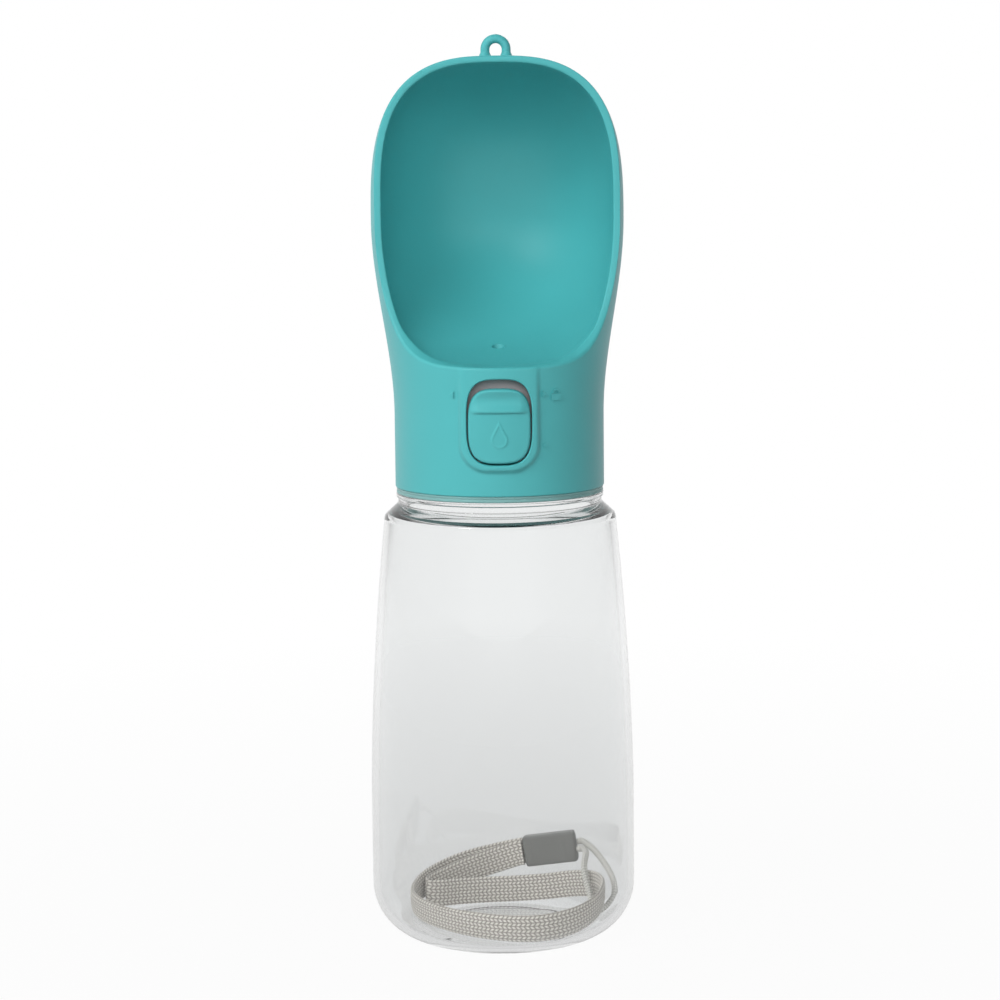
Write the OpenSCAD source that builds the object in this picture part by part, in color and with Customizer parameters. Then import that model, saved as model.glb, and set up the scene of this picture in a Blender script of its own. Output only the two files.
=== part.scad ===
// Travel water bottle for a dog: a clear bottle under a screw-on drinking bowl.
// A push valve in the bowl's skirt lets water through, and its button slides up to lock.
// Millimetres, +Z up, origin on the floor under the bottle's axis, the bowl faces -Y.

/* [Bottle] */
// Height where the wall meets the shoulder
shoulder_z = 122.4; // [95:0.1:150]
// Largest radius of the bottle
body_r = 38.2; // [34:0.1:48]
// Height of the widest ring
belly_z = 40; // [25:1:60]
// How fast the wall draws in above the widest ring
wall_power = 1.75; // [1.2:0.05:2.5]
// Radius of the round foot
foot_fillet = 16; // [8:0.5:19]
// Radius of the rounded shoulder corner
shoulder_fillet = 2.4; // [1:0.1:4]
// Slope of the shoulder's normal, up from level
shoulder_slope = 47; // [35:1:65]
// How far the shoulder stands out past the neck's root
shoulder_step = 4.1; // [2.5:0.1:8]
// Wall thickness
bottle_wall = 2; // [1.2:0.1:3]
// Floor thickness
bottle_floor = 3; // [2:0.1:5]
// Depth of the hollow under the foot
foot_hollow = 0.8; // [0.3:0.1:1.5]

/* [Neck] */
// Outer radius of the neck, at the root of its thread
neck_r = 25.6; // [20:0.1:31]
// Height of the neck above its flange
neck_h = 8.5; // [6:0.1:14]
// Wall of the neck
neck_wall = 2; // [1.4:0.1:3]
// Height of the plain collar under the flange
collar_h = 1.7; // [1:0.1:4]
// Thickness of the flange that the seal sits on
flange_t = 1.3; // [1:0.1:3]
// How far the flange stands out past the collar
flange_lip = 0.5; // [0.2:0.1:1]
// Room for the thread between neck and collar
thread_room = 1; // [0.7:0.1:1.6]
// Height of the sealing ring
seal_t = 1.7; // [1:0.1:3]

/* [Bowl] */
// Wall of the bowl and skirt
shell_wall = 2; // [1.6:0.1:3]
// Half the bowl's width at its widest
bowl_r = 36; // [32:0.1:44]
// Height from the front lip to the top
bowl_h = 85.9; // [70:0.1:105]
// Where the bowl is widest, as a part of its height
wide_part = 0.465; // [0.35:0.005:0.55]
// How far the back stands out
back_r = 34.5; // [31:0.1:38]
// How square the top looks from the front
dome_power = 2.8; // [2:0.1:4]
// Depth of the rim behind the axis, where it runs upright
rim_y = -9; // [-14:0.5:-3]
// How far the floor lies under the lip
lip_drop = 1; // [0.5:0.1:3]
// Thickness of the bowl's floor
floor_t = 2.4; // [1.8:0.1:3.5]
// Radius of the outlet in the floor
outlet_r = 1.85; // [1.2:0.05:2.5]

/* [Strap eye] */
// Half the width of the eye's opening
eye_hole_r = 1.7; // [1.2:0.1:3]
// Thickness of the eye's bail
eye_wire = 2.55; // [1.8:0.05:4]
// Height of the straight legs that show
eye_leg = 1.7; // [0.8:0.1:4]

/* [Button] */
// Width of the slot
slot_w = 18.2; // [14:0.1:20]
// Height of the slot
slot_h = 23.9; // [20:0.1:27]
// Height of the button
button_h = 20.8; // [16:0.1:22]
// Running gap round the button
button_gap = 0.4; // [0.3:0.05:0.8]
// How far the bezel stands out
bezel_out = 1.2; // [0.6:0.1:2]
// Width of the bezel
bezel_w = 22.6; // [20:0.1:26]
// Height of the band between slot and lip
lip_band = 3.3; // [2.6:0.1:5]
// How far the button slides up to lock
lock_travel = 2.2; // [1:0.1:3]
// How far the button presses in
press_travel = 4; // [2.5:0.1:4.5]
// Thickness of the slide plate
carrier_t = 1.6; // [1.2:0.1:2.2]

/* [Valve] */
// Outer radius of the barrel
barrel_r = 6.3; // [6:0.1:7]
// Radius of the stem
stem_r = 1.9; // [1.6:0.05:2.2]
// Radius of the seat's opening
seat_r = 3.2; // [2.8:0.1:3.6]
// Depth of the duct behind the axis
duct_y = -5; // [-8:0.5:-3]
// Length of the return spring at rest
spring_l = 10; // [9:0.1:12]
// Turns of the return spring
spring_turns = 5; // [4:0.5:6]
// Wire of the return spring
spring_wire = 0.7; // [0.5:0.05:0.9]

/* [Strap] */
// Width of the woven band
band_w = 8; // [6:0.5:10]
// Thickness of the woven band
band_t = 1.3; // [1:0.1:1.6]
// Diameter of the thin cord
cord_d = 2; // [1.5:0.1:2.4]
// Length of the clamp
clamp_l = 16.6; // [12:0.1:18]

/* [Hidden] */
$fn = 96;
eps = 0.01;

// Radii that stack outward from the neck's thread
collar_in_r = neck_r + thread_room;
collar_wall = 1.3;
collar_out_r = collar_in_r + collar_wall;
skirt_in_r = collar_out_r + 0.1;
skirt_r = skirt_in_r + shell_wall;
flange_r = skirt_r - 0.2;
root_r = flange_r - flange_lip;
shoulder_r = root_r + shoulder_step;

// Heights that stack up from the shoulder
corner_x = shoulder_r - shoulder_fillet * (1 - cos(shoulder_slope));
corner_z = shoulder_z + shoulder_fillet * sin(shoulder_slope);
root_z = corner_z + (corner_x - root_r) / tan(shoulder_slope);
flange_z0 = root_z + collar_h;
seat_z = flange_z0 + flange_t;
base_z = seat_z + seal_t;
neck_top = seat_z + neck_h;
deck_t = 2;
deck_z0 = neck_top + 0.3;
deck_z = deck_z0 + deck_t;
slot_z0 = deck_z - 0.2;
slot_zc = slot_z0 + slot_h / 2;
lip_z = slot_z0 + slot_h + lip_band;
top_z = lip_z + bowl_h;
wide_z = lip_z + wide_part * bowl_h;
flare_z = slot_zc;

function ease(t) = let (u = min(1, max(0, t))) u * u * (3 - 2 * u);
function lerp(a, b, t) = a + (b - a) * t;

// Bottle ------------------------------------------------------------------------------

// Outer radius of the wall at height z
function wall_r(z) =
    body_r - (body_r - shoulder_r)
        * pow(max(0, z - belly_z) / (shoulder_z - belly_z), wall_power);

// Half outline of foot, wall, shoulder and inside of the neck's root, drawn in by t
function wall_points(t, floor_z) = [
    for (i = [0 : 8]) let (a = -90 + i * 90 / 8)
        [body_r - foot_fillet + (foot_fillet - t) * cos(a),
         max(floor_z, foot_fillet + (foot_fillet - t) * sin(a))],
    for (i = [1 : 12]) let (z = lerp(belly_z, shoulder_z, i / 12)) [wall_r(z) - t, z],
    for (i = [1 : 4]) let (a = shoulder_slope * i / 4)
        [shoulder_r - shoulder_fillet + (shoulder_fillet - t * 0.6) * cos(a) - t * 0.4,
         shoulder_z + (shoulder_fillet - t * 0.6) * sin(a)],
];

module bottle() {
    foot_r = body_r - foot_fillet;
    bore_r = neck_r - neck_wall;
    color([0.88, 0.9, 0.9, 0.45])
        rotate_extrude()
            difference() {
                polygon(concat(
                    [[0, foot_hollow], [foot_r - 5, foot_hollow], [foot_r - 3.5, 0]],
                    wall_points(0, 0),
                    [[root_r, root_z], [root_r, flange_z0], [flange_r, flange_z0 + 0.25],
                     [flange_r, seat_z - 0.25], [flange_r - 0.25, seat_z], [neck_r, seat_z],
                     [neck_r, neck_top - 0.5], [neck_r - 0.5, neck_top], [0, neck_top]]));
                polygon(concat(
                    [[0, bottle_floor]],
                    wall_points(bottle_wall, bottle_floor),
                    [[bore_r + 1.5, root_z - 0.5], [bore_r, root_z + 1.5],
                     [bore_r, neck_top - 0.4], [bore_r + 0.4, neck_top + eps],
                     [0, neck_top + eps]]));
            }
}

module neck_seal() {
    seal_in = neck_r + 0.3;
    color([0.6, 0.68, 0.68])
        rotate_extrude()
            difference() {
                translate([seal_in, seat_z]) square([flange_r - 0.1 - seal_in, seal_t]);
                translate([flange_r + 0.1, seat_z + seal_t / 2]) circle(r = 0.35, $fn = 24);
            }
}

// Bowl --------------------------------------------------------------------------------

// Half width of the outside at height z, drawn in by t
function half_w(z, t) = z <= wide_z
    ? skirt_r - t + (bowl_r - skirt_r) * ease((z - flare_z) / (wide_z - flare_z))
    : (bowl_r - t) * pow(max(0, 1 - pow((z - wide_z) / (top_z - t - wide_z), dome_power)),
                         1 / dome_power);

// Where the outside is widest, and where its back lies, at height z
function mid_y(z) = z <= wide_z
    ? ease((z - flare_z) / (wide_z - flare_z))
    : 1 + (rim_y - 4) * pow(min(1, (z - wide_z) / (top_z - wide_z)), 2);
function back_y(z, t) = z <= wide_z
    ? skirt_r - t + (back_r - skirt_r) * ease((z - flare_z) / (wide_z - flare_z))
    : let (y1 = mid_y(top_z))
      y1 + (back_r - t - y1)
          * pow(max(0, 1 - pow((z - wide_z) / (top_z - t - wide_z), 2.4)), 1 / 2.2);

// The rim's side view: level at the lip, then curving upright
rim_h = 37;
rim_reach = skirt_r + bezel_out + 0.6;
function rim_line(z) = rim_y - (rim_reach + rim_y)
    * (1 - pow(max(0, 1 - pow(max(0, 1 - (z - lip_z) / rim_h), 2.4)), 1 / 2.4));

// A closed skin over level rings that hold as many points each
module skin(rings) {
    n = len(rings[0]);
    m = len(rings);
    polyhedron(
        points = [for (r = rings) each r],
        faces = concat(
            [[for (i = [0 : n - 1]) i]],
            [for (k = [0 : m - 2], i = [0 : n - 1]) let (j = (i + 1) % n)
                [k * n + i, k * n + n + i, k * n + n + j]],
            [for (k = [0 : m - 2], i = [0 : n - 1]) let (j = (i + 1) % n)
                [k * n + i, k * n + n + j, k * n + j]],
            [[for (i = [0 : n - 1]) (m - 1) * n + n - 1 - i]]),
        convexity = 4);
}

function outer_ring(z, t, n) = let (a = half_w(z, t), y0 = mid_y(z), y1 = back_y(z, t))
    [for (i = [0 : n - 1]) let (q = i * 360 / n)
        [a * cos(q), y0 + (sin(q) > 0 ? y1 - y0 : a) * sin(q), z]];

// Heights from z0 up to the top, closer where the dome closes
function dome_levels(z0, t, low, high) = concat(
    [for (i = [0 : low - 1]) lerp(z0, wide_z, i / low)],
    [for (i = [0 : high]) wide_z + (top_z - t - wide_z) * sin(i * 88.6 / high)]);

module outside(t, z0, n, low, high)
    skin([for (z = dome_levels(z0, t, low, high)) outer_ring(z, t, n)]);

// The bowl's floor in side view is part of an ellipse that turns up into the back wall
scoop_y = -36;
scoop_h = wide_z - lip_z + lip_drop;
function floor_back(z) = let (b = back_r - shell_wall - scoop_y)
    scoop_y + b * sqrt(max(0, 1 - pow((wide_z - z) / scoop_h, 2)));
function floor_z(y) =
    wide_z - scoop_h * sqrt(1 - pow((y - scoop_y) / (back_r - shell_wall - scoop_y), 2));
scoop_start = asin((-0.97 * skirt_in_r - scoop_y) / (back_r - shell_wall - scoop_y));

// One level ring of the hollow: its back follows the floor, its front the skin's inside
function hollow_ring(z, n) =
    let (r = half_w(z, shell_wall), y0 = mid_y(z),
         back = z < wide_z ? min(floor_back(z), back_y(z, shell_wall)) : back_y(z, shell_wall),
         want = z < wide_z
            ? lerp(rim_line(z) - 1, mid_y(wide_z), ease((z - lip_z - 4) / (wide_z - lip_z - 4)))
            : y0,
         mid = max(min(back - 0.4, want), y0 - 0.985 * r),
         e = asin((mid - y0) / r), a = r * cos(e))
    concat(
        [for (i = [0 : n / 2 - 1]) let (q = i * 360 / n)
            [a * cos(q), mid + (back - mid) * sin(q), z]],
        [for (i = [0 : n / 2 - 1]) let (q = lerp(180 - e, 360 + e, i * 2 / n))
            [r * cos(q), y0 + r * sin(q), z]]);

function hollow_levels(low, high) = concat(
    [for (i = [0 : low - 1]) wide_z - scoop_h * cos(lerp(scoop_start, 90, i / low))],
    [for (i = [0 : high])
        wide_z + (top_z - shell_wall - wide_z) * sin(i * 88.6 / high)]);

module hollow(n, low, high)
    skin([for (z = hollow_levels(low, high)) hollow_ring(z, n)]);

// The same hollow grown by the floor's thickness: what the room below must keep clear of
function grown_ring(z, n) = let (r = hollow_ring(z + floor_t, n))
    [for (i = [0 : n - 1])
        [r[i][0] * (1 + floor_t / bowl_r), r[i][1] + (i < n / 2 ? 1 : -1) * floor_t, z]];

module below_hollow(n, low)
    skin([for (i = [0 : low])
        let (z = wide_z - scoop_h * cos(lerp(scoop_start, 90, i / low)))
            grown_ring(z - floor_t, n)]);

module rim_cut()
    rotate([90, 0, 90])
        linear_extrude(height = 120, center = true)
            polygon(concat(
                [[-60, lip_z]],
                [for (i = [0 : 18]) let (z = lip_z + rim_h * (1 - cos(i * 5))) [rim_line(z), z]],
                [[rim_y + 1, top_z + 8], [-60, top_z + 8]]));

function squircle(w, h, power) = [for (i = [0 : 47]) let (q = i * 7.5)
    [w / 2 * sign(cos(q)) * pow(abs(cos(q)), 2 / power),
     h / 2 * sign(sin(q)) * pow(abs(sin(q)), 2 / power)]];

// A prism along Y through the front wall, drawn as seen from the front
module front_prism(y0, y1)
    translate([0, y1, 0]) rotate([90, 0, 0]) linear_extrude(height = y1 - y0) children();

module bezel_outline(grow) {
    w = bezel_w + 2 * grow;
    z0 = slot_z0 - 2.3 - grow;
    corner = 8.5 + grow;
    hull() {
        for (s = [-1, 1])
            translate([s * (w / 2 - corner), z0 + corner]) circle(r = corner, $fn = 32);
        translate([-w / 2, lip_z - 1]) square([w, 1]);
    }
}

module bezel()
    intersection() {
        hull() {
            front_prism(-skirt_r + 4, -skirt_r + 4.1) bezel_outline(1.9);
            front_prism(-skirt_r - 3.1, -skirt_r - 3) bezel_outline(-2.3);
        }
        translate([0, 0, slot_z0 - 6]) difference() {
            cylinder(r = skirt_r + bezel_out, h = lip_z - slot_z0 + 9);
            translate([0, 0, -1]) cylinder(r = skirt_in_r + 0.3, h = lip_z - slot_z0 + 11);
        }
    }

// Round bail on the crown, with its legs run down into the shell
eye_mean_r = eye_hole_r + eye_wire / 2;
eye_y = rim_y + 5;
module strap_eye()
    translate([0, eye_y, top_z + eye_leg]) {
        rotate([90, 0, 0]) rotate_extrude(angle = 180, $fn = 28)
            translate([eye_mean_r, 0]) circle(d = eye_wire, $fn = 16);
        for (s = [-1, 1])
            translate([s * eye_mean_r, 0, -eye_leg - shell_wall])
                cylinder(d1 = eye_wire + 1, d2 = eye_wire, h = eye_leg + shell_wall, $fn = 16);
    }

boss_r = 6;
socket_r = 4.6;
boss_z0 = slot_zc + 11;
duct_floor_z = floor_z(duct_y);
socket_top = duct_floor_z - floor_t - 0.4;

module head_shell() {
    color([0.36, 0.72, 0.72])
        resize([0, 0, 0])
        difference() {
            union() {
                difference() {
                    outside(0, base_z, 76, 14, 16);
                    intersection() {
                        outside(shell_wall, base_z - 1, 64, 8, 4);
                        translate([-60, -60, base_z - 2]) cube([120, 120, wide_z - base_z - 10]);
                    }
                }
                intersection() {
                    outside(1.2, base_z, 56, 8, 4);
                    below_hollow(52, 11);
                    translate([-60, -60, base_z]) cube([120, 120, top_z]);
                }
                intersection() {
                    translate([0, duct_y, boss_z0]) cylinder(r = boss_r, h = 20, $fn = 48);
                    outside(0.3, base_z, 48, 4, 4);
                }
                bezel();
                strap_eye();
            }
            hollow(64, 12, 13);
            rim_cut();
            front_prism(-60, -skirt_r + 6)
                translate([0, slot_zc]) polygon(squircle(slot_w, slot_h, 3.2));
            translate([0, duct_y, boss_z0 - 1])
                cylinder(r = socket_r, h = socket_top - boss_z0 + 1, $fn = 48);
            translate([0, duct_y, boss_z0]) cylinder(r = outlet_r, h = 30, $fn = 32);
            translate([-carrier_w / 2 - 0.4, -skirt_in_r, deck_z])
                cube([carrier_w + 0.8, carrier_room, carrier_z1 + 0.3 - deck_z]);
        }
}

// Valve -------------------------------------------------------------------------------

// The barrel lies along Y at the button's height; these are places along it
press_z = slot_zc - 0.35;
carrier_out_r = skirt_in_r - button_gap;
carrier_in_r = carrier_out_r - carrier_t;
carrier_boss_l = 1.8;
stem_front = -carrier_in_r + carrier_boss_l;
barrel_front = stem_front + press_travel + 0.7;
pocket_l = 2.7;
chamber_front = barrel_front + pocket_l + 1.5;
seat_front = duct_y + 4;
seat_t = 1.5;
seat_back = seat_front + seat_t;
washer_t = 1.5;
stem_flange_t = 1.5;
spring_front = seat_back + washer_t + stem_flange_t;
spring_back = spring_front + spring_l;
plug_l = 4;
barrel_back = spring_back + plug_l;
front_bore_r = 4.2;
back_bore_r = barrel_r - 1.3;
pocket_r = 3.6;
inlet_y = spring_front + 3;
inlet_r = 2.5;
spigot_r = 3.6;
duct_r = 2;
spigot_top = socket_top - 2;

// A cylinder along Y from y0 to y1, on the press axis
module along(y0, y1, r)
    translate([0, y0, press_z]) rotate([-90, 0, 0]) cylinder(r = r, h = y1 - y0);

// A ring along Y turned from a half outline drawn as [radius, distance from y0]
module turned(y0)
    translate([0, y0, press_z]) rotate([-90, 0, 0]) rotate_extrude() children();

module valve_body() {
    color([0.36, 0.72, 0.72])
        difference() {
            union() {
                translate([0, 0, base_z]) cylinder(r = collar_out_r, h = deck_z - base_z);
                along(barrel_front, barrel_back, barrel_r);
                translate([-4, barrel_front + 4, deck_z - eps])
                    cube([8, barrel_back - barrel_front - 4, press_z - deck_z]);
                translate([0, duct_y, press_z])
                    cylinder(r = spigot_r, h = spigot_top - press_z);
            }
            translate([0, 0, base_z - 1])
                cylinder(r = collar_in_r, h = deck_z0 - base_z + 1);
            along(barrel_front - 1, barrel_front + pocket_l, pocket_r);
            along(barrel_front, seat_front, stem_r + 0.3);
            along(chamber_front, seat_front, front_bore_r);
            along(chamber_front, spring_front, seat_r);
            along(seat_back, barrel_back + 1, back_bore_r);
            translate([0, duct_y, press_z]) cylinder(r = duct_r, h = spigot_top - press_z + 1);
            translate([0, inlet_y, deck_z0 - 1]) cylinder(r = inlet_r, h = press_z - deck_z0 + 1);
        }
}

module duct_seal() {
    color([0.75, 0.78, 0.78])
        translate([0, duct_y, spigot_top])
            difference() {
                cylinder(r = socket_r - 0.1, h = socket_top - spigot_top - eps);
                translate([0, 0, -1]) cylinder(r = duct_r, h = socket_top - spigot_top + 2);
            }
}

gland_t = 1.1;
module gland_ring() {
    color([0.36, 0.72, 0.72])
        turned(barrel_front)
            translate([stem_r + 0.3, 0]) square([pocket_r - 0.05 - stem_r - 0.3, gland_t]);
}

seal_tube_r = 0.7;
module stem_seal() {
    color([0.2, 0.2, 0.2])
        turned(barrel_front + gland_t + seal_tube_r + 0.05)
            translate([stem_r + 0.15 + seal_tube_r, 0]) circle(r = seal_tube_r, $fn = 24);
}

tail_r = 1.4;
tail_l = 4.5;
pilot_l = 6.5;
module stem() {
    color([0.92, 0.92, 0.92])
        turned(stem_front)
            difference() {
                union() {
                    square([stem_r, spring_front - stem_front]);
                    translate([0, spring_front - stem_front - stem_flange_t])
                        square([back_bore_r - 0.7, stem_flange_t]);
                    square([tail_r, spring_front + tail_l - stem_front]);
                }
                translate([0, -1]) square([screw_r + 0.05, pilot_l + 1]);
            }
}

module valve_washer() {
    color([0.8, 0.82, 0.82])
        turned(seat_back)
            translate([stem_r, 0]) square([seat_r + 1 - stem_r, washer_t]);
}

spring_mean_r = 3;
module return_spring() {
    side = 8;
    per_turn = 16;
    steps = spring_turns * per_turn;
    run = spring_l - spring_wire;
    centres = [for (i = [0 : steps]) let (q = i * 360 / per_turn)
        [spring_mean_r * cos(q), spring_front + spring_wire / 2 + run * i / steps,
         press_z + spring_mean_r * sin(q)]];
    color([0.75, 0.75, 0.77])
        skin([for (i = [0 : steps]) let (q = i * 360 / per_turn, c = centres[i])
            [for (k = [0 : side - 1]) let (b = -k * 360 / side)
                c + spring_wire / 2 * [cos(b) * cos(q), sin(b), cos(b) * sin(q)]]]);
}

groove_y = 1.5;
groove_w = 1.5;
groove_depth = 1.25;
plug_r = back_bore_r - 0.1;
module spring_cap() {
    color([0.36, 0.72, 0.72])
        turned(spring_back)
            difference() {
                union() {
                    square([plug_r, plug_l]);
                    translate([0, plug_l]) square([barrel_r, 1.5]);
                }
                translate([plug_r - groove_depth, groove_y]) square([groove_depth + 1, groove_w]);
            }
}

module cap_seal() {
    tube = 0.65;
    color([0.2, 0.2, 0.2])
        turned(spring_back + groove_y + groove_w / 2)
            translate([back_bore_r - 0.03 - tube, 0]) circle(r = tube, $fn = 24);
}

// Button ------------------------------------------------------------------------------

screw_r = 1;
screw_head_r = 2.3;
screw_head_t = 1.3;
leg_x = 4.8;
leg_w = 1.6;
leg_h = 5;
hook = 0.8;
carrier_w = slot_w + 2.4;
carrier_z0 = deck_z + 0.3;
carrier_z1 = slot_z0 + slot_h + 0.6;
carrier_room = button_gap + carrier_t + press_travel + 2.5;

module button_carrier() {
    leg_slot_h = leg_h + lock_travel + 0.6;
    color([0.49, 0.47, 0.47])
        difference() {
            union() {
                intersection() {
                    translate([0, 0, carrier_z0]) difference() {
                        cylinder(r = carrier_out_r, h = carrier_z1 - carrier_z0);
                        translate([0, 0, -1])
                            cylinder(r = carrier_in_r, h = carrier_z1 - carrier_z0 + 2);
                    }
                    translate([-carrier_w / 2, -skirt_r, carrier_z0 - 1])
                        cube([carrier_w, skirt_r, carrier_z1 - carrier_z0 + 2]);
                }
                along(-carrier_in_r - carrier_t / 2, stem_front, 3.6);
            }
            along(-skirt_r, 0, screw_r + 0.2);
            along(-skirt_r, -carrier_out_r + 0.2 + screw_head_t, screw_head_r + 0.3);
            for (s = [-1, 1])
                translate([s * (leg_x + leg_w / 2) - leg_w / 2 - 0.25, -skirt_r,
                           press_z - leg_h / 2 - 0.3])
                    cube([leg_w + 0.5, skirt_r, leg_slot_h]);
        }
}

module carrier_screw() {
    color([0.75, 0.75, 0.77])
        turned(-carrier_out_r + 0.2)
            difference() {
                union() {
                    square([screw_head_r, screw_head_t]);
                    square([screw_r, stem_front + carrier_out_r - 0.2 + pilot_l - 0.5]);
                }
                translate([0, -1]) square([0.6, 1.7]);
            }
}

button_w = slot_w - 2 * button_gap;
button_z0 = slot_z0 + button_gap + 0.1;
button_zc = button_z0 + button_h / 2;
button_in_r = carrier_out_r + 0.4;
button_out_r = skirt_r + bezel_out + 0.1;

// The face in side view: a flat pad, a raised thumb ridge and a scoop behind it
module button_outline() {
    z0 = button_z0;
    step = z0 + button_h * 0.66;
    ridge = step + 1;
    z1 = z0 + button_h;
    polygon(concat(
        [[button_in_r, z0], [button_out_r - 0.9, z0], [button_out_r - 0.3, z0 + 0.4],
         [button_out_r, z0 + 1.2], [button_out_r, step], [button_out_r + 0.9, ridge]],
        [for (i = [1 : 6]) let (q = i * 180 / 7)
            [button_out_r + 0.9 - 1.3 * sin(q), ridge + 0.4 + (z1 - 1.4 - ridge) * i / 7]],
        [[button_out_r + 0.5, z1 - 0.9], [button_out_r, z1 - 0.2],
         [button_out_r - 0.7, z1], [button_in_r, z1]]));
}

module button() {
    leg_y0 = -button_in_r - 0.5;
    leg_y1 = -carrier_in_r + 2;
    hook_y = -sqrt(pow(carrier_in_r, 2) - pow(leg_x + leg_w + hook, 2)) + 0.25;
    color([0.4, 0.75, 0.74]) {
        difference() {
            intersection() {
                rotate_extrude() button_outline();
                front_prism(-60, -1)
                    translate([0, button_zc]) polygon(squircle(button_w, button_h, 3.2));
            }
            along(-button_in_r - 0.6, 0, screw_head_r + 0.6);
        }
        for (s = [0, 1]) mirror([s, 0, 0]) {
            translate([leg_x, leg_y0, press_z - leg_h / 2])
                cube([leg_w, leg_y1 - leg_y0, leg_h]);
            translate([leg_x + leg_w - eps, hook_y, press_z - leg_h / 2])
                cube([hook + eps, leg_y1 - hook_y, leg_h]);
        }
    }
}

// Strap -------------------------------------------------------------------------------

// Points along a smooth curve through a list of points, n steps between each pair
function curve_point(a, b, c, d, t) = 0.5 * (2 * b + (c - a) * t
    + (2 * a - 5 * b + 4 * c - d) * t * t + (3 * b - a - 3 * c + d) * t * t * t);
function curve(p, n) = let (m = len(p)) [
    for (i = [0 : m - 2], k = [0 : n - 1])
        curve_point(p[max(0, i - 1)], p[i], p[i + 1], p[min(m - 1, i + 2)], k / n),
    p[m - 1]];
function unit(v) = v / norm(v);
function heading(p, i) = unit(p[min(i + 1, len(p) - 1)] - p[max(i - 1, 0)]);

// A ring with half sizes a across and b up, square to the way, its b side kept upright
function way_ring(c, way, a, b, section) =
    let (side = unit(cross(way, [0, 0, 1])), up = cross(side, way))
    [for (s = section) c + side * a * s[0] + up * b * s[1]];

round_section = [for (k = [0 : 7]) [cos(k * 45), sin(k * 45)]];
flat_section = [[1, 0.75], [0.55, 1], [-0.55, 1], [-1, 0.75],
                [-1, -0.75], [-0.55, -1], [0.55, -1], [1, -0.75]];

module sweep(p, a, b, section)
    skin([for (i = [len(p) - 1 : -1 : 0]) way_ring(p[i], heading(p, i), a, b, section)]);

// The clamp leans on the back of the bottle, with the strap's ends at its ends
clamp_at = [14.5, 26.8, 18];
clamp_turn = -13;
clamp_tilt = -9;
clamp_t = 4;
clamp_h = 9.4;
clamp_end = clamp_l / 2 + 0.35;
function from_clamp(v) =
    let (x = v[0] * cos(clamp_tilt) + v[2] * sin(clamp_tilt),
         z = v[2] * cos(clamp_tilt) - v[0] * sin(clamp_tilt))
    clamp_at + [x * cos(clamp_turn) - v[1] * sin(clamp_turn),
                x * sin(clamp_turn) + v[1] * cos(clamp_turn), z];

// Middle line of the band: out of the clamp on the wall side, round the foot and back
band_route = [
    from_clamp([-clamp_end, 1.05, 0]), from_clamp([-clamp_end - 2, 1.15, -0.1]),
    [-2, 31.6, 14.6], [-10, 29.6, 13.2], [-17, 26, 11.6],
    [-23, 20, 10], [-26.6, 12, 8.6], [-27, 4, 7.8], [-24, -4, 7.3],
    [-18, -12, 7.2], [-10, -19, 7.2], [0, -24, 7.3], [10, -25.4, 7.7],
    [19, -21.8, 8.6], [25.4, -14, 9.8], [28.6, -5, 11], [29, 4, 11.4],
    [26.4, 12, 10.8], [20.6, 17.6, 9.4], [13, 20, 8], [4, 20.6, 7.3],
    [-5, 19.8, 7.2], [-13, 17.4, 7.4], [-19, 14, 7.8], [-22.6, 13.4, 8.2],
    [-22.6, 17, 8.8], [-18, 21.2, 10], [-11, 25, 12], [-3, 28, 14],
    from_clamp([-clamp_end - 2, -1.15, -0.1]), from_clamp([-clamp_end, -1.05, 0])];

// Middle line of the thin cord: out of the clamp, under the band's end and back over it
cord_route = [
    from_clamp([clamp_end, 0.6, 0.9]), from_clamp([clamp_end + 1.8, 0.2, 0.9]),
    [27.4, 20.6, 19.2], [30.1, 15.4, 17], [32.2, 9.4, 14.6], [33, 4, 12.2],
    [32.4, 0.9, 9.4], [30.6, 0, 6.5], [28.4, -0.8, 5.2], [26.4, 0.1, 5.5],
    [25.9, 3.2, 7], [25.6, 6.6, 9.6], [24.6, 9.4, 12.8], [24.2, 12.2, 15.9],
    [24.7, 15.4, 17.9], [25.1, 19, 18.7],
    from_clamp([clamp_end + 1.8, -1.8, -0.9]), from_clamp([clamp_end, -1, -0.9])];

module strap_band() {
    color([0.68, 0.66, 0.62])
        sweep(curve(band_route, 3), band_t / 2, band_w / 2, flat_section);
}

module strap_cord() {
    color([0.6, 0.6, 0.57])
        sweep(curve(cord_route, 3), cord_d / 2, cord_d / 2, round_section);
}

module strap_clamp() {
    color([0.5, 0.51, 0.49])
        translate(clamp_at) rotate([0, clamp_tilt, clamp_turn])
            hull()
                for (x = [-1, 1], y = [-1, 1], z = [-1, 1])
                    translate([x * (clamp_l / 2 - 1), y * (clamp_t / 2 - 1), z * (clamp_h / 2 - 1)])
                        sphere(r = 1, $fn = 16);
}

bottle();
neck_seal();
head_shell();
valve_body();
duct_seal();
gland_ring();
stem_seal();
stem();
valve_washer();
return_spring();
spring_cap();
cap_seal();
button_carrier();
carrier_screw();
button();
strap_band();
strap_clamp();
strap_cord();
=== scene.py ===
"""Dog travel water bottle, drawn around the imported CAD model.

Metres, +Z up, -Y is the front. Lengths named in millimetres carry MM where they are used.
"""
import math

import bpy
import numpy as np
from mathutils import Matrix, Vector


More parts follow.
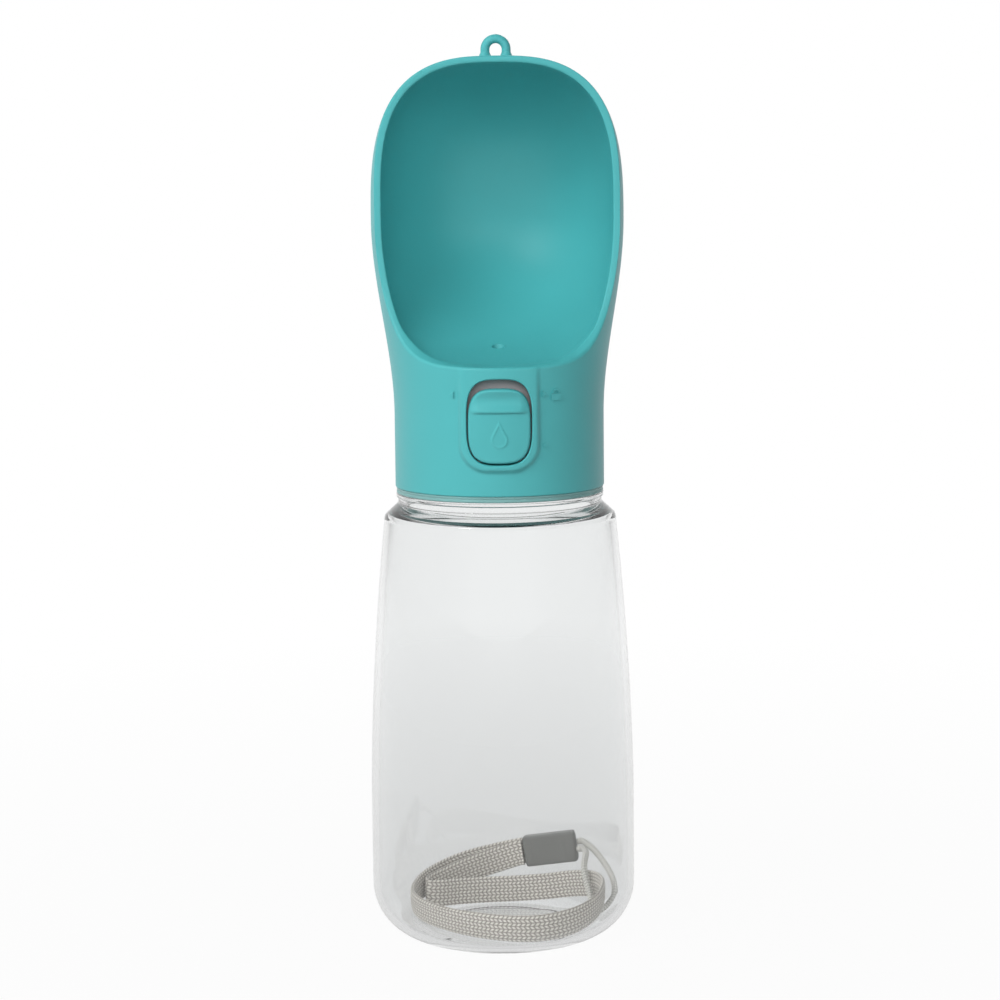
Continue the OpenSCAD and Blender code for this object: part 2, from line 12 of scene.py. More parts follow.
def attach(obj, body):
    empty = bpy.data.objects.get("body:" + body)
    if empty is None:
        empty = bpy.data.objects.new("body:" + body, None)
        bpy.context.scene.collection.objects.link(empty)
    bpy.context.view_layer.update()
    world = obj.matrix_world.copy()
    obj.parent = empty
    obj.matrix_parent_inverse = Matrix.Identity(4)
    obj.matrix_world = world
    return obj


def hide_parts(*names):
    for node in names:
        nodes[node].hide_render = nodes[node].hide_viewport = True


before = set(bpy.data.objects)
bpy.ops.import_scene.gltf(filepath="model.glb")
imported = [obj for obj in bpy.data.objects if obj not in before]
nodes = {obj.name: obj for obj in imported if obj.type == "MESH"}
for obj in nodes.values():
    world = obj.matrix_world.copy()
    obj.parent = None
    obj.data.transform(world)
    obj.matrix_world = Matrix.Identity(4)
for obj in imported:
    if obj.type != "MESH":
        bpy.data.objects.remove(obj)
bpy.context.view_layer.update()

MM = 0.001
scene = bpy.context.scene


# Camera ---

CAMERA_AT = (0.0, -0.8135, 0.2302)
PITCH = math.radians(7.2)
ROLL = math.radians(0.57)
LENS = 102.42

cam_data = bpy.data.cameras.new("camera")
cam_data.lens = LENS
cam_data.sensor_width = 36
cam_data.clip_start = 0.05
cam = bpy.data.objects.new("camera", cam_data)
scene.collection.objects.link(cam)
cam.location = CAMERA_AT
turn = Matrix.Rotation(math.pi / 2 - PITCH, 4, "X") @ Matrix.Rotation(-ROLL, 4, "Z")
cam.rotation_euler = turn.to_euler()
scene.camera = cam


# Helpers ---

def lerp(a, b, t):
    return a + (b - a) * t


def ease(t):
    u = np.clip(t, 0, 1)
    return u * u * (3 - 2 * u)


def signed_volume(points, faces):
    """Volume of a closed mesh, below 0 where its faces look inward."""
    total = 0.0
    for count in set(len(f) for f in faces):
        corners = points[np.array([f for f in faces if len(f) == count])]
        for k in range(1, count - 1):
            across = np.cross(corners[:, k], corners[:, k + 1])
            total += np.einsum("ij,ij->", corners[:, 0], across)
    return total / 6


def add_mesh(name, points, faces, smooth_deg=35.0):
    """A closed mesh object from points in millimetres, its faces turned to look outward."""
    points = np.asarray(points, float) * MM
    if signed_volume(points, faces) < 0:
        faces = [tuple(reversed(f)) for f in faces]
    mesh = bpy.data.meshes.new(name)
    mesh.from_pydata(points.tolist(), [], faces)
    mesh.update()
    mesh.shade_smooth()
    if smooth_deg:
        mesh.set_sharp_from_angle(angle=math.radians(smooth_deg))
    obj = bpy.data.objects.new(name, mesh)
    scene.collection.objects.link(obj)
    return obj


def grid_faces(rows, cols, closed_cols=True, closed_rows=False, flip=False):
    """Quads between rows of points, the points of each row in order."""
    out = []
    for r in range(rows if closed_rows else rows - 1):
        a, b = r * cols, (r + 1) % rows * cols
        for c in range(cols if closed_cols else cols - 1):
            d = (c + 1) % cols
            quad = (a + c, a + d, b + d, b + c)
            out.append(quad[::-1] if flip else quad)
    return out


def tube_faces(rows, cols, flip=False):
    """A tube of quads, closed by one flat face at each end."""
    ends = [tuple(range(cols))[::-1], tuple(range((rows - 1) * cols, rows * cols))]
    return grid_faces(rows, cols, flip=flip) + [e[::-1] if flip else e for e in ends]


def fanned_faces(rows, cols):
    """A tube of quads, closed by fans to two more points, which follow those of the rows."""
    out = grid_faces(rows, cols)
    first, last = rows * cols, (rows - 1) * cols
    for c in range(cols):
        d = (c + 1) % cols
        out += [(first, d, c), (first + 1, last + c, last + d)]
    return out


def lathe(name, outline, segments, smooth_deg=35.0):
    """A closed outline of (radius, height), turned about Z."""
    r, z = np.asarray(outline, float).T[..., None]
    q = np.arange(segments) * 2 * math.pi / segments
    p = np.stack([r * np.cos(q), r * np.sin(q), z + 0 * q], -1)
    faces = grid_faces(len(r), segments, closed_rows=True)
    return add_mesh(name, p.reshape(-1, 3), faces, smooth_deg)


def bezier(a, k, b, steps=6):
    """Points, or rows of points, of a curve from a to b that rounds the corner k."""
    a, k, b = (np.asarray(v, float) for v in (a, k, b))
    parts = np.linspace(0, 1, steps + 1)
    return [(1 - t) ** 2 * a + 2 * t * (1 - t) * k + t * t * b for t in parts]


def rounded(points, radius, steps=5):
    """A closed outline with each corner rounded: radius is one number, or one for each."""
    pts = [np.asarray(p, float) for p in points]
    n = len(pts)
    radii = [radius] * n if np.isscalar(radius) else radius
    out = []
    for i, p in enumerate(pts):
        a, b = pts[i - 1] - p, pts[(i + 1) % n] - p
        r = min(radii[i], 0.48 * np.linalg.norm(a), 0.48 * np.linalg.norm(b))
        out += bezier(p + a / np.linalg.norm(a) * r, p, p + b / np.linalg.norm(b) * r, steps)
    return np.array(out)


def smooth_path(points, per):
    """A Catmull-Rom curve through points, per steps between each pair."""
    p = np.asarray(points, float)
    p = np.vstack([2 * p[0] - p[1], p, 2 * p[-1] - p[-2]])
    out = []
    for i in range(1, len(p) - 2):
        a, b, c, d = p[i - 1:i + 3]
        for k in range(per):
            t = k / per
            out.append(0.5 * (2 * b + (c - a) * t + (2 * a - 5 * b + 4 * c - d) * t * t
                              + (3 * b - a - 3 * c + d) * t ** 3))
    out.append(p[-2])
    return np.array(out)


def distances(points):
    """How far along a line each of its points is."""
    gaps = np.linalg.norm(np.diff(points, axis=0), axis=1)
    return np.concatenate([[0], np.cumsum(gaps)])


def even_path(path, step):
    """The same path in even steps, and the distance of each point along it."""
    s = distances(path)
    n = max(2, int(round(s[-1] / step)) + 1)
    at = np.linspace(0, s[-1], n)
    return np.stack([np.interp(at, s, path[:, k]) for k in range(3)], 1), at


def path_frames(path):
    """Forward, side and up vectors along a path, the up ones kept as upright as may be."""
    way = np.gradient(path, axis=0)
    way /= np.linalg.norm(way, axis=1)[:, None]
    side = np.cross(way, [0, 0, 1])
    side /= np.linalg.norm(side, axis=1)[:, None]
    return way, side, np.cross(side, way)


def superellipse(q, half_w, half_h, power):
    """Points at the angles q of an ellipse that fills its corners more as power grows."""
    return np.stack([np.sign(np.cos(q)) * np.abs(np.cos(q)) ** (2 / power) * half_w,
                     np.sign(np.sin(q)) * np.abs(np.sin(q)) ** (2 / power) * half_h], 1)


def dress(piece, material, body, node=None):
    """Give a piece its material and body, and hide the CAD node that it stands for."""
    piece.data.materials.append(material)
    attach(piece, body)
    if node:
        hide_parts(node)


# Materials ---

class Nodes:
    """A small builder for a node tree: a number goes on a socket, a socket is linked to it."""

    def __init__(self, owner):
        owner.use_nodes = True
        self.tree = owner.node_tree

    def put(self, socket, value):
        if isinstance(value, bpy.types.NodeSocket):
            self.tree.links.new(value, socket)
        else:
            socket.default_value = value

    def add(self, kind, **settings):
        node = self.tree.nodes.new(kind)
        for key, value in settings.items():
            if key in node.inputs:
                self.put(node.inputs[key], value)
            else:
                setattr(node, key, value)
        return node

    def math(self, operation, a, b=None, clamp=False):
        node = self.add("ShaderNodeMath", operation=operation, use_clamp=clamp)
        self.put(node.inputs[0], a)
        if b is not None:
            self.put(node.inputs[1], b)
        return node.outputs[0]

    def crown(self, part):
        """A ridge: 0 where part is 0 or 1, and 1 half way."""
        swing = self.math("SUBTRACT", self.math("MULTIPLY", part, 2.0), 1.0)
        return self.math("SUBTRACT", 1.0, self.math("ABSOLUTE", swing))

    def mix(self, factor, a, b):
        node = self.add("ShaderNodeMix", data_type="RGBA")
        for k, value in ((0, factor), (6, a), (7, b)):
            self.put(node.inputs[k], value)
        return node.outputs[2]

    def choose(self, factor, off, on):
        """One of two shaders."""
        node = self.add("ShaderNodeMixShader")
        for socket, value in zip(node.inputs, (factor, off, on)):
            self.put(socket, value)
        return node.outputs[0]

    def noise(self, per_m, detail=3.0, rough=0.5, stretch=(1, 1, 1)):
        place = self.add("ShaderNodeTexCoord").outputs["Object"]
        scaled = self.add("ShaderNodeMapping", Vector=place, Scale=stretch).outputs[0]
        return self.add("ShaderNodeTexNoise", Vector=scaled, Scale=per_m, Detail=detail,
                        Roughness=rough).outputs["Fac"]

    def ramp(self, value, low, high, to_low, to_high, kind="LINEAR"):
        node = self.add("ShaderNodeMapRange", interpolation_type=kind)
        for socket, number in zip(node.inputs, (value, low, high, to_low, to_high)):
            self.put(socket, number)
        return node.outputs[0]


class Surface(Nodes):
    """The nodes of a material, around its Principled shader."""

    def __init__(self, name):
        self.material = bpy.data.materials.new(name)
        super().__init__(self.material)
        self.shader = self.tree.nodes["Principled BSDF"]
        self.out = self.tree.nodes["Material Output"].inputs["Surface"]

    def bump(self, height, depth):
        node = self.add("ShaderNodeBump", Distance=depth, Height=height)
        self.set(Normal=node.outputs[0])

    def set(self, **values):
        for key, value in values.items():
            self.put(self.shader.inputs[key.replace("_", " ")], value)


def srgb(r, g, b):
    """A colour as seen, 0 to 255, as linear light."""
    out = []
    for v in (r / 255, g / 255, b / 255):
        out.append(v / 12.92 if v <= 0.04045 else ((v + 0.055) / 1.055) ** 2.4)
    return (*out, 1.0)


# The band that most of a noise fills, and noises as cells per metre, detail and roughness
NOISE_BAND = (0.3, 0.7)
FLOW, SPARK, CLOUD, FROST = (28, 2), (2600, 2, 0.6), (90, 3), (1500, 2)
FLOW_SHADE, CLOUD_TINT, ROUGH_SPAN = 0.93, 1.12, 0.06


def surface(name, low, high, mottle, grain, roughness, depth, **values):
    """Two colours laid by the noise mottle, or else by the fine noise grain, which also gives
    the roughness and the height of the surface."""
    m = Surface(name)
    fine = m.noise(*grain)
    share = m.ramp(m.noise(*mottle), *NOISE_BAND, 0, 1) if mottle else fine
    m.set(Base_Color=m.mix(share, low, high), Roughness=m.ramp(fine, *NOISE_BAND, *roughness))
    m.bump(fine, depth)
    m.set(**values)
    return m.material


def moulded(name, colour, rough, grain=0.00001):
    """Moulded plastic: a soft flow variation in the colour, and a fine spark-eroded grain."""
    dark = tuple(c * FLOW_SHADE for c in colour[:3]) + (1.0,)
    span = (rough - ROUGH_SPAN, rough + ROUGH_SPAN)
    return surface(name, dark, colour, FLOW, SPARK, span, grain)


def silicone(name, colour, through=0.25):
    """Silicone with a faint cloud in its colour; through is the share of light that sinks in."""
    pale = tuple(min(1, c * CLOUD_TINT) for c in colour[:3]) + (1.0,)
    return surface(name, colour, pale, CLOUD, FROST, (0.34, 0.5), 0.00001,
                   Subsurface_Weight=through, Subsurface_Radius=(0.002, 0.002, 0.002), IOR=1.41)


teal = moulded("teal_plastic", srgb(77, 175, 178), rough=0.42, grain=0.000012)
teal_inner = moulded("teal_inner_plastic", srgb(78, 164, 166), rough=0.5)
plate_grey = moulded("plate_plastic", srgb(168, 160, 162), rough=0.55, grain=0.00002)
stem_white = moulded("stem_acetal", srgb(228, 228, 224), rough=0.35)
clamp_grey = moulded("clamp_plastic", srgb(104, 105, 102), rough=0.46, grain=0.00002)
ring_silicone = silicone("ring_silicone", srgb(120, 164, 163))
milky_silicone = silicone("milky_silicone", srgb(214, 218, 216), 0.4)
black = surface("o_ring_rubber", srgb(24, 24, 24), srgb(40, 40, 41), None, (1800, 3),
                (0.5, 0.65), 0.00001)
steel = surface("spring_steel", srgb(176, 176, 178), srgb(214, 214, 216), None,
                (900, 3, 0.6, (1, 1, 6)), (0.18, 0.32), 0.000006, Metallic=1.0)


def clear_plastic():
    """Clear moulded plastic with a faint grey body and flow ripples; lamps shine through."""
    m = Surface("clear_plastic")
    m.bump(m.noise(26, 2, 0.5, (1, 1, 0.35)), 0.000012)
    m.set(Base_Color=srgb(247, 248, 248), Transmission_Weight=1.0, IOR=1.5,
          Roughness=m.ramp(m.noise(420, 2), 0.35, 0.75, 0.0, 0.02))
    passing = m.add("ShaderNodeBsdfTransparent", Color=srgb(246, 246, 246)).outputs[0]
    shadow = m.add("ShaderNodeLightPath").outputs["Is Shadow Ray"]
    m.put(m.out, m.choose(shadow, m.shader.outputs[0], passing))
    return m.material


clear = clear_plastic()

# A braid's row width and stitch length in metres, and how far its yarns lean
BAND_STITCH, CORD_STITCH = (0.00098, 0.0013), (0.00052, 0.0009)
YARN_LEAN, YARN_LENGTHWISE, YARN_CROSSWISE = 0.62, 1.5, 1.9
STRAND_TURN = 26.0


def woven(name, light, mid, dark, row, stitch):
    """Yarn colours of a braid, laid by the distances kept on its points, with painted shade in
    the gaps between yarns and a painted highlight on their crowns.
    """
    m = Surface(name)
    along, across = (m.add("ShaderNodeAttribute", attribute_name=key).outputs["Fac"]
                     for key in ("along", "across"))
    v = m.math("DIVIDE", across, row)
    whole = m.math("FLOOR", v)
    part = m.math("SUBTRACT", v, whole)
    odd = m.math("MODULO", m.math("ABSOLUTE", whole), 2.0)
    slant = m.math("MULTIPLY", m.math("SUBTRACT", m.math("MULTIPLY", odd, 2.0), 1.0), YARN_LEAN)
    u = m.math("ADD", m.math("DIVIDE", along, stitch), m.math("MULTIPLY", slant, part))
    u = m.math("ADD", u, m.math("MULTIPLY", odd, 0.5))
    step = m.math("FRACT", u)
    body = m.math("MINIMUM", m.math("MULTIPLY", m.crown(step), YARN_LENGTHWISE),
                  m.math("MULTIPLY", m.crown(part), YARN_CROSSWISE), clamp=True)
    strands = m.math("SINE", m.math("MULTIPLY", m.math("ADD", v, step), STRAND_TURN))
    fuzz = m.noise(2400, 3, 0.7)
    height = m.math("ADD", body, m.math("MULTIPLY", strands, 0.06))
    height = m.math("ADD", height, m.math("MULTIPLY", fuzz, 0.25))
    # Painted shade: the colour darkens into the gaps between yarns; painted highlight: the crowns
    # turn pale where lit is high
    gap_shaded_tone = m.mix(m.ramp(body, 0.1, 0.75, 0, 1), dark, mid)
    lit = m.math("MULTIPLY", m.ramp(body, 0.5, 1.0, 0, 1), m.ramp(fuzz, 0.35, 0.65, 0.35, 1.0))
    m.bump(height, 0.00012)
    m.set(Base_Color=m.mix(lit, gap_shaded_tone, light), Roughness=m.ramp(fuzz, 0.3, 0.7, 0.6, 0.85),
          Sheen_Weight=0.15, Specular_IOR_Level=0.35)
    return m.material


# In each braid the first colour is the painted highlight on yarn crowns, the last the painted
# shade in the gaps
band_cloth = woven("band_weave", srgb(226, 222, 215), srgb(193, 189, 182),
                   srgb(134, 129, 122), *BAND_STITCH)
cord_cloth = woven("cord_braid", srgb(236, 235, 229), srgb(210, 209, 203),
                   srgb(150, 149, 143), *CORD_STITCH)


# Sizes of the CAD model, in millimetres ---

# Only LIP_DROP differs: it is 1.0 in the CAD, which leaves a pocket behind the bowl's lip
SHOULDER_Z, BODY_R, BELLY_Z, WALL_POWER = 122.4, 38.2, 40.0, 1.75
FOOT_FILLET, SHOULDER_FILLET, SHOULDER_SLOPE, SHOULDER_STEP = 16.0, 2.4, math.radians(47), 4.1
BOTTLE_WALL, BOTTLE_FLOOR, FOOT_HOLLOW = 2.0, 3.0, 0.8
NECK_R, NECK_H, NECK_WALL, COLLAR_H = 25.6, 8.5, 2.0, 1.7
FLANGE_T, FLANGE_LIP, THREAD_ROOM, SEAL_T = 1.3, 0.5, 1.0, 1.7
WALL, BOWL_R, BOWL_H, WIDE_PART, BACK_R = 2.0, 36.0, 85.9, 0.465, 34.5
DOME_POWER, RIM_Y, LIP_DROP, FLOOR_T, OUTLET_R = 2.8, -9.0, 0.35, 2.4, 1.85
EYE_HOLE_R, EYE_WIRE, EYE_LEG = 1.7, 2.55, 1.7
SLOT_W, SLOT_H, BUTTON_H, BUTTON_GAP = 18.2, 23.9, 20.8, 0.4
BEZEL_OUT, BEZEL_W, LIP_BAND = 1.2, 22.6, 3.3
BAND_W, BAND_T, CORD_D, CLAMP_L = 8.0, 1.3, 2.0, 16.6

COLLAR_IN_R = NECK_R + THREAD_ROOM
SKIRT_IN_R = COLLAR_IN_R + 1.4
SKIRT_R = SKIRT_IN_R + WALL
FLANGE_R = SKIRT_R - 0.2
ROOT_R = FLANGE_R - FLANGE_LIP
SHOULDER_R = ROOT_R + SHOULDER_STEP
CORNER_X = SHOULDER_R - SHOULDER_FILLET * (1 - math.cos(SHOULDER_SLOPE))
CORNER_Z = SHOULDER_Z + SHOULDER_FILLET * math.sin(SHOULDER_SLOPE)
ROOT_Z = CORNER_Z + (CORNER_X - ROOT_R) / math.tan(SHOULDER_SLOPE)
FLANGE_Z0 = ROOT_Z + COLLAR_H
SEAT_Z = FLANGE_Z0 + FLANGE_T
BASE_Z = SEAT_Z + SEAL_T
NECK_TOP = SEAT_Z + NECK_H
DECK_Z = NECK_TOP + 2.3
SLOT_Z0 = DECK_Z - 0.2
SLOT_ZC = SLOT_Z0 + SLOT_H / 2
LIP_Z = SLOT_Z0 + SLOT_H + LIP_BAND
TOP_Z = LIP_Z + BOWL_H
WIDE_Z = LIP_Z + WIDE_PART * BOWL_H
FLARE_Z = SLOT_ZC
PRESS_Z = SLOT_ZC - 0.35


# Strap, made first because its pieces are declared as cords ---

CLAMP_AT = np.array([14.5, 26.8, 18])
CLAMP_TURN, CLAMP_TILT = math.radians(-13), math.radians(-9)
CLAMP_T, CLAMP_H = 4.0, 9.4
CLAMP_END = CLAMP_L / 2 + 0.35


def from_clamp(v):
    """A point given from the clamp's middle, along its length, through it and up it."""
    v = np.asarray(v, float)
    x = v[..., 0] * math.cos(CLAMP_TILT) + v[..., 2] * math.sin(CLAMP_TILT)
    z = v[..., 2] * math.cos(CLAMP_TILT) - v[..., 0] * math.sin(CLAMP_TILT)
    c, s = math.cos(CLAMP_TURN), math.sin(CLAMP_TURN)
    return CLAMP_AT + np.stack([x * c - v[..., 1] * s, x * s + v[..., 1] * c, z], -1)


BAND_ROUTE = [
    from_clamp([-CLAMP_END, 1.05, 0]), from_clamp([-CLAMP_END - 2, 1.15, -0.1]),
    (-2, 31.6, 14.6), (-10, 29.6, 13.2), (-17, 26, 11.6),
    (-23, 20, 10), (-26.6, 12, 8.6), (-27, 4, 7.8), (-24, -4, 7.3),
    (-18, -12, 7.2), (-10, -19, 7.2), (0, -24, 7.3), (10, -25.4, 7.7),
    (19, -21.8, 8.6), (25.4, -14, 9.8), (28.6, -5, 11), (29, 4, 11.4),
    (26.4, 12, 10.8), (20.6, 17.6, 9.4), (13, 20, 8), (4, 20.6, 7.3),
    (-5, 19.8, 7.2), (-13, 17.4, 7.4), (-19, 14, 7.8), (-22.6, 13.4, 8.2),
    (-22.6, 17, 8.8), (-18, 21.2, 10), (-11, 25, 12), (-3, 28, 14),
    from_clamp([-CLAMP_END - 2, -1.15, -0.1]), from_clamp([-CLAMP_END, -1.05, 0])]
CORD_ROUTE = [
    from_clamp([CLAMP_END, 0.6, 0.9]), from_clamp([CLAMP_END + 1.8, 0.2, 0.9]),
    (27.4, 20.6, 19.2), (30.1, 15.4, 17), (32.2, 9.4, 14.6), (33, 4, 12.2),
    (32.4, 0.9, 9.4), (30.6, 0, 6.5), (28.4, -0.8, 5.2), (26.4, 0.1, 5.5),
    (25.9, 3.2, 7), (25.6, 6.6, 9.6), (24.6, 9.4, 12.8), (24.2, 12.2, 15.9),
    (24.7, 15.4, 17.9), (25.1, 19, 18.7),
    from_clamp([CLAMP_END + 1.8, -1.8, -0.9]), from_clamp([CLAMP_END, -1, -0.9])]


def stitches(along, across, row, stitch):
    """Height of the braid's yarns, 0 to 1, as the weave material lays them."""
    v = across / row
    whole = np.floor(v)
    part = v - whole
    odd = np.mod(np.abs(whole), 2)
    u = along / stitch + (odd * 2 - 1) * YARN_LEAN * part + odd * 0.5
    step = u - np.floor(u)
    crown_u = 1 - np.abs(step * 2 - 1)
    crown_v = 1 - np.abs(part * 2 - 1)
    return np.clip(np.minimum(crown_u * YARN_LENGTHWISE, crown_v * YARN_CROSSWISE), 0, 1)


def braided(name, route, half_t, half_w, step, ring, relief, power, row, stitch):
    """A braid swept along a route: a superellipse section with the yarns standing on it."""
    path, at = even_path(smooth_path(route, 24), step)
    way, side, up = path_frames(path)
    q = (0.25 + np.arange(ring) / ring) * 2 * math.pi
    section = superellipse(q, half_t, half_w, power)
    girth = distances(np.vstack([section, section[:1]]))[:-1]
    across = np.broadcast_to(girth, (len(path), ring)) * MM
    along = np.broadcast_to(at[:, None], (len(path), ring)) * MM
    high = stitches(along, across, row, stitch) * relief - relief
    out = section / [half_t ** 2, half_w ** 2]
    out /= np.linalg.norm(out, axis=1)[:, None]
    a = section[:, 0] + high * out[:, 0]
    b = section[:, 1] + high * out[:, 1]
    p = path[:, None] + side[:, None] * a[..., None] + up[:, None] * b[..., None]
    p = np.concatenate([p.reshape(-1, 3), path[:1], path[-1:]])
    obj = add_mesh(name, p, fanned_faces(len(path), ring), smooth_deg=0)
    for key, values in (("along", along), ("across", across)):
        attribute = obj.data.attributes.new(key, "FLOAT", "POINT")
        attribute.data.foreach_set("value", np.append(values, [0, 0]).astype(np.float32))
    return obj, path, at[-1]


band, band_path, band_length = braided(
    "strap_band_weave", BAND_ROUTE, BAND_T / 2, BAND_W / 2, step=0.33, ring=56, relief=0.16,
    power=3.2, row=BAND_STITCH[0], stitch=BAND_STITCH[1])
thin_cord, cord_path, cord_length = braided(
    "strap_cord_braid", CORD_ROUTE, CORD_D / 2, CORD_D / 2, step=0.22, ring=24, relief=0.1,
    power=2.0, row=CORD_STITCH[0], stitch=CORD_STITCH[1])


def soft_block(size, radius):
    """A block with rounded edges as a fine grid, so that lines can be moulded into it."""
    half = np.array(size) / 2
    q = np.arange(96) * 2 * math.pi / 96
    rows = []
    for t in np.linspace(-1, 1, 52):
        x = t * half[0]
        edge = max(0.0, abs(x) - (half[0] - radius)) / radius
        inset = radius * (1 - math.sqrt(max(0.0, 1 - edge * edge)))
        hy, hz = half[1] - inset, half[2] - inset
        corner = min(radius, hy, hz)
        cy = np.clip(np.cos(q) * 3, -1, 1) * (hy - corner) + np.cos(q) * corner
        cz = np.clip(np.sin(q) * 3, -1, 1) * (hz - corner) + np.sin(q) * corner
        rows.append(np.stack([np.full_like(q, x), cy, cz], 1))
    return np.array(rows)


def make_clamp():
    """The clamp, with a sunk panel and a ledge line moulded into both of its faces."""
    rows = soft_block((CLAMP_L, CLAMP_T, CLAMP_H), 1.0)
    x, y, z = rows[..., 0], rows[..., 1], rows[..., 2]
    face = np.clip((np.abs(y) - CLAMP_T / 2 + 0.35) / 0.3, 0, 1)
    panel = np.maximum(np.abs(x + 0.6) - 5.1, np.abs(z + 0.7) - 2.4)
    line = np.exp(-(panel / 0.22) ** 2) * 0.16 + ease(-panel / 0.3) * 0.08
    ledge = np.exp(-((z - 2.9) / 0.2) ** 2) * ease((5.9 - np.abs(x)) / 0.4) * 0.12
    rows[..., 1] -= np.sign(y) * face * (line + ledge)
    p = from_clamp(rows.reshape(-1, 3))
    return add_mesh("strap_clamp_moulding", p, tube_faces(*rows.shape[:2]), smooth_deg=40)


clamp = make_clamp()
dress(band, band_cloth, "vessel", "strap_band")
dress(clamp, clamp_grey, "vessel", "strap_clamp")
dress(thin_cord, cord_cloth, "vessel", "strap_cord")


# Bottle, threads and neck ring ---

def wall_r(z):
    """Outer radius of the bottle's wall, straight below the belly and drawn in above it."""
    rise = np.maximum(0, z - BELLY_Z) / (SHOULDER_Z - BELLY_Z)
    return BODY_R - (BODY_R - SHOULDER_R) * rise ** WALL_POWER


def wall_points(inset, floor_z):
    """The wall's outline from the foot to the shoulder, inset into it by a thickness."""
    out = []
    for a in np.radians(np.linspace(-90, 0, 48)):
        out.append((BODY_R - FOOT_FILLET + (FOOT_FILLET - inset) * math.cos(a),
                    max(floor_z, FOOT_FILLET + (FOOT_FILLET - inset) * math.sin(a))))
    for z in np.linspace(BELLY_Z - 20, SHOULDER_Z, 130):
        out.append((float(wall_r(z)) - inset, z))
    for a in np.linspace(0, SHOULDER_SLOPE, 9)[1:]:
        reach = SHOULDER_FILLET - inset * 0.6
        out.append((SHOULDER_R - SHOULDER_FILLET + reach * math.cos(a) - inset * 0.4,
                    SHOULDER_Z + reach * math.sin(a)))
    return out


# An inner bead at the neck's root, and the radius that stands for the bottle's axis
BEAD, BEAD_Z, HUB = 1.0, 125.9, 0.02


def make_bottle():
    foot_r = BODY_R - FOOT_FILLET
    bore_r = NECK_R - NECK_WALL
    room_r = ROOT_R - BOTTLE_WALL
    line = [(HUB, FOOT_HOLLOW)]
    line += bezier((foot_r - 6, FOOT_HOLLOW), (foot_r - 4.6, FOOT_HOLLOW), (foot_r - 4, 0.35))
    line += bezier((foot_r - 3.9, 0.25), (foot_r - 3.6, 0), (foot_r - 3, 0))
    line += wall_points(0, 0)
    line += [(ROOT_R + 0.5, ROOT_Z - 0.45)]
    line += bezier((ROOT_R + 0.35, ROOT_Z - 0.3), (ROOT_R, ROOT_Z), (ROOT_R, ROOT_Z + 0.45))
    line += [(ROOT_R, FLANGE_Z0 - 0.1)]
    line += bezier((FLANGE_R - 0.3, FLANGE_Z0), (FLANGE_R, FLANGE_Z0),
                   (FLANGE_R, FLANGE_Z0 + 0.35), 4)
    line += bezier((FLANGE_R, SEAT_Z - 0.3), (FLANGE_R, SEAT_Z), (FLANGE_R - 0.3, SEAT_Z), 4)
    line += [(NECK_R, SEAT_Z)]
    line += bezier((NECK_R, NECK_TOP - 0.6), (NECK_R, NECK_TOP), (NECK_R - 0.6, NECK_TOP), 4)
    line += bezier((bore_r + 0.5, NECK_TOP), (bore_r, NECK_TOP), (bore_r, NECK_TOP - 0.5), 4)
    line += bezier((bore_r, SEAT_Z + 2), (bore_r, SEAT_Z + 0.6), (bore_r + 1.5, SEAT_Z + 0.3))
    line += bezier((room_r - 0.6, SEAT_Z - 0.1), (room_r, SEAT_Z - 0.2), (room_r, SEAT_Z - 0.9))
    line += bezier((room_r, BEAD_Z + 1.3), (room_r, BEAD_Z + 0.7),
                   (room_r - BEAD * 0.5, BEAD_Z + 0.45), 5)
    line += bezier((room_r - BEAD, BEAD_Z + 0.2), (room_r - BEAD - 0.1, BEAD_Z - 0.1),
                   (room_r - BEAD + 0.4, BEAD_Z - 0.5), 5)
    line += bezier((room_r - BEAD + 1.2, BEAD_Z - 1.0), (room_r + 1.2, BEAD_Z - 1.7),
                   (room_r + 1.9, BEAD_Z - 2.2), 5)
    line += wall_points(BOTTLE_WALL, BOTTLE_FLOOR)[::-1]
    line += [(HUB, BOTTLE_FLOOR)]
    seen = [line[0]]
    for p in line[1:]:
        if np.linalg.norm(np.subtract(p, seen[-1])) > 0.02:
            seen.append(p)
    return lathe("bottle_wall", seen, 300, smooth_deg=40)


dress(make_bottle(), clear, "vessel", "bottle")


PITCH_MM, PER_TURN = 4.0, 96


def helix(name, root_r, out_r, z0, turns, half, start=0.0):
    """A screw thread's ridge between two radii, fading in and out at its ends."""
    n = int(turns * PER_TURN) + 1
    t = np.arange(n) / PER_TURN
    q = start + t * 2 * math.pi
    z = z0 + t * PITCH_MM
    fade = ease(np.minimum(t, turns - t) / 0.12)[:, None]
    sunk = root_r + (root_r - out_r) * 0.25
    shape_r = np.array([sunk, root_r, out_r, out_r, root_r, sunk])
    shape_z = np.array([-half * 1.1, -half, -half * 0.45, half * 0.45, half, half * 1.1])
    r = lerp(sunk, shape_r[None], np.where(np.arange(6)[None] % 5 == 0, 1, fade))
    dz = shape_z[None] * lerp(0.3, 1, fade)
    p = np.stack([r * np.cos(q)[:, None], r * np.sin(q)[:, None], z[:, None] + dz], -1)
    faces = tube_faces(n, 6, flip=out_r < root_r)
    return add_mesh(name, p.reshape(-1, 3), faces, smooth_deg=50)


dress(helix("neck_thread", NECK_R - 0.02, NECK_R + 0.72, SEAT_Z + 2.2, 1.15, 0.62),
      clear, "vessel")
dress(helix("collar_thread", COLLAR_IN_R + 0.02, COLLAR_IN_R - 0.62, SEAT_Z + 2.0, 1.1, 0.55,
            math.pi), teal_inner, "head")

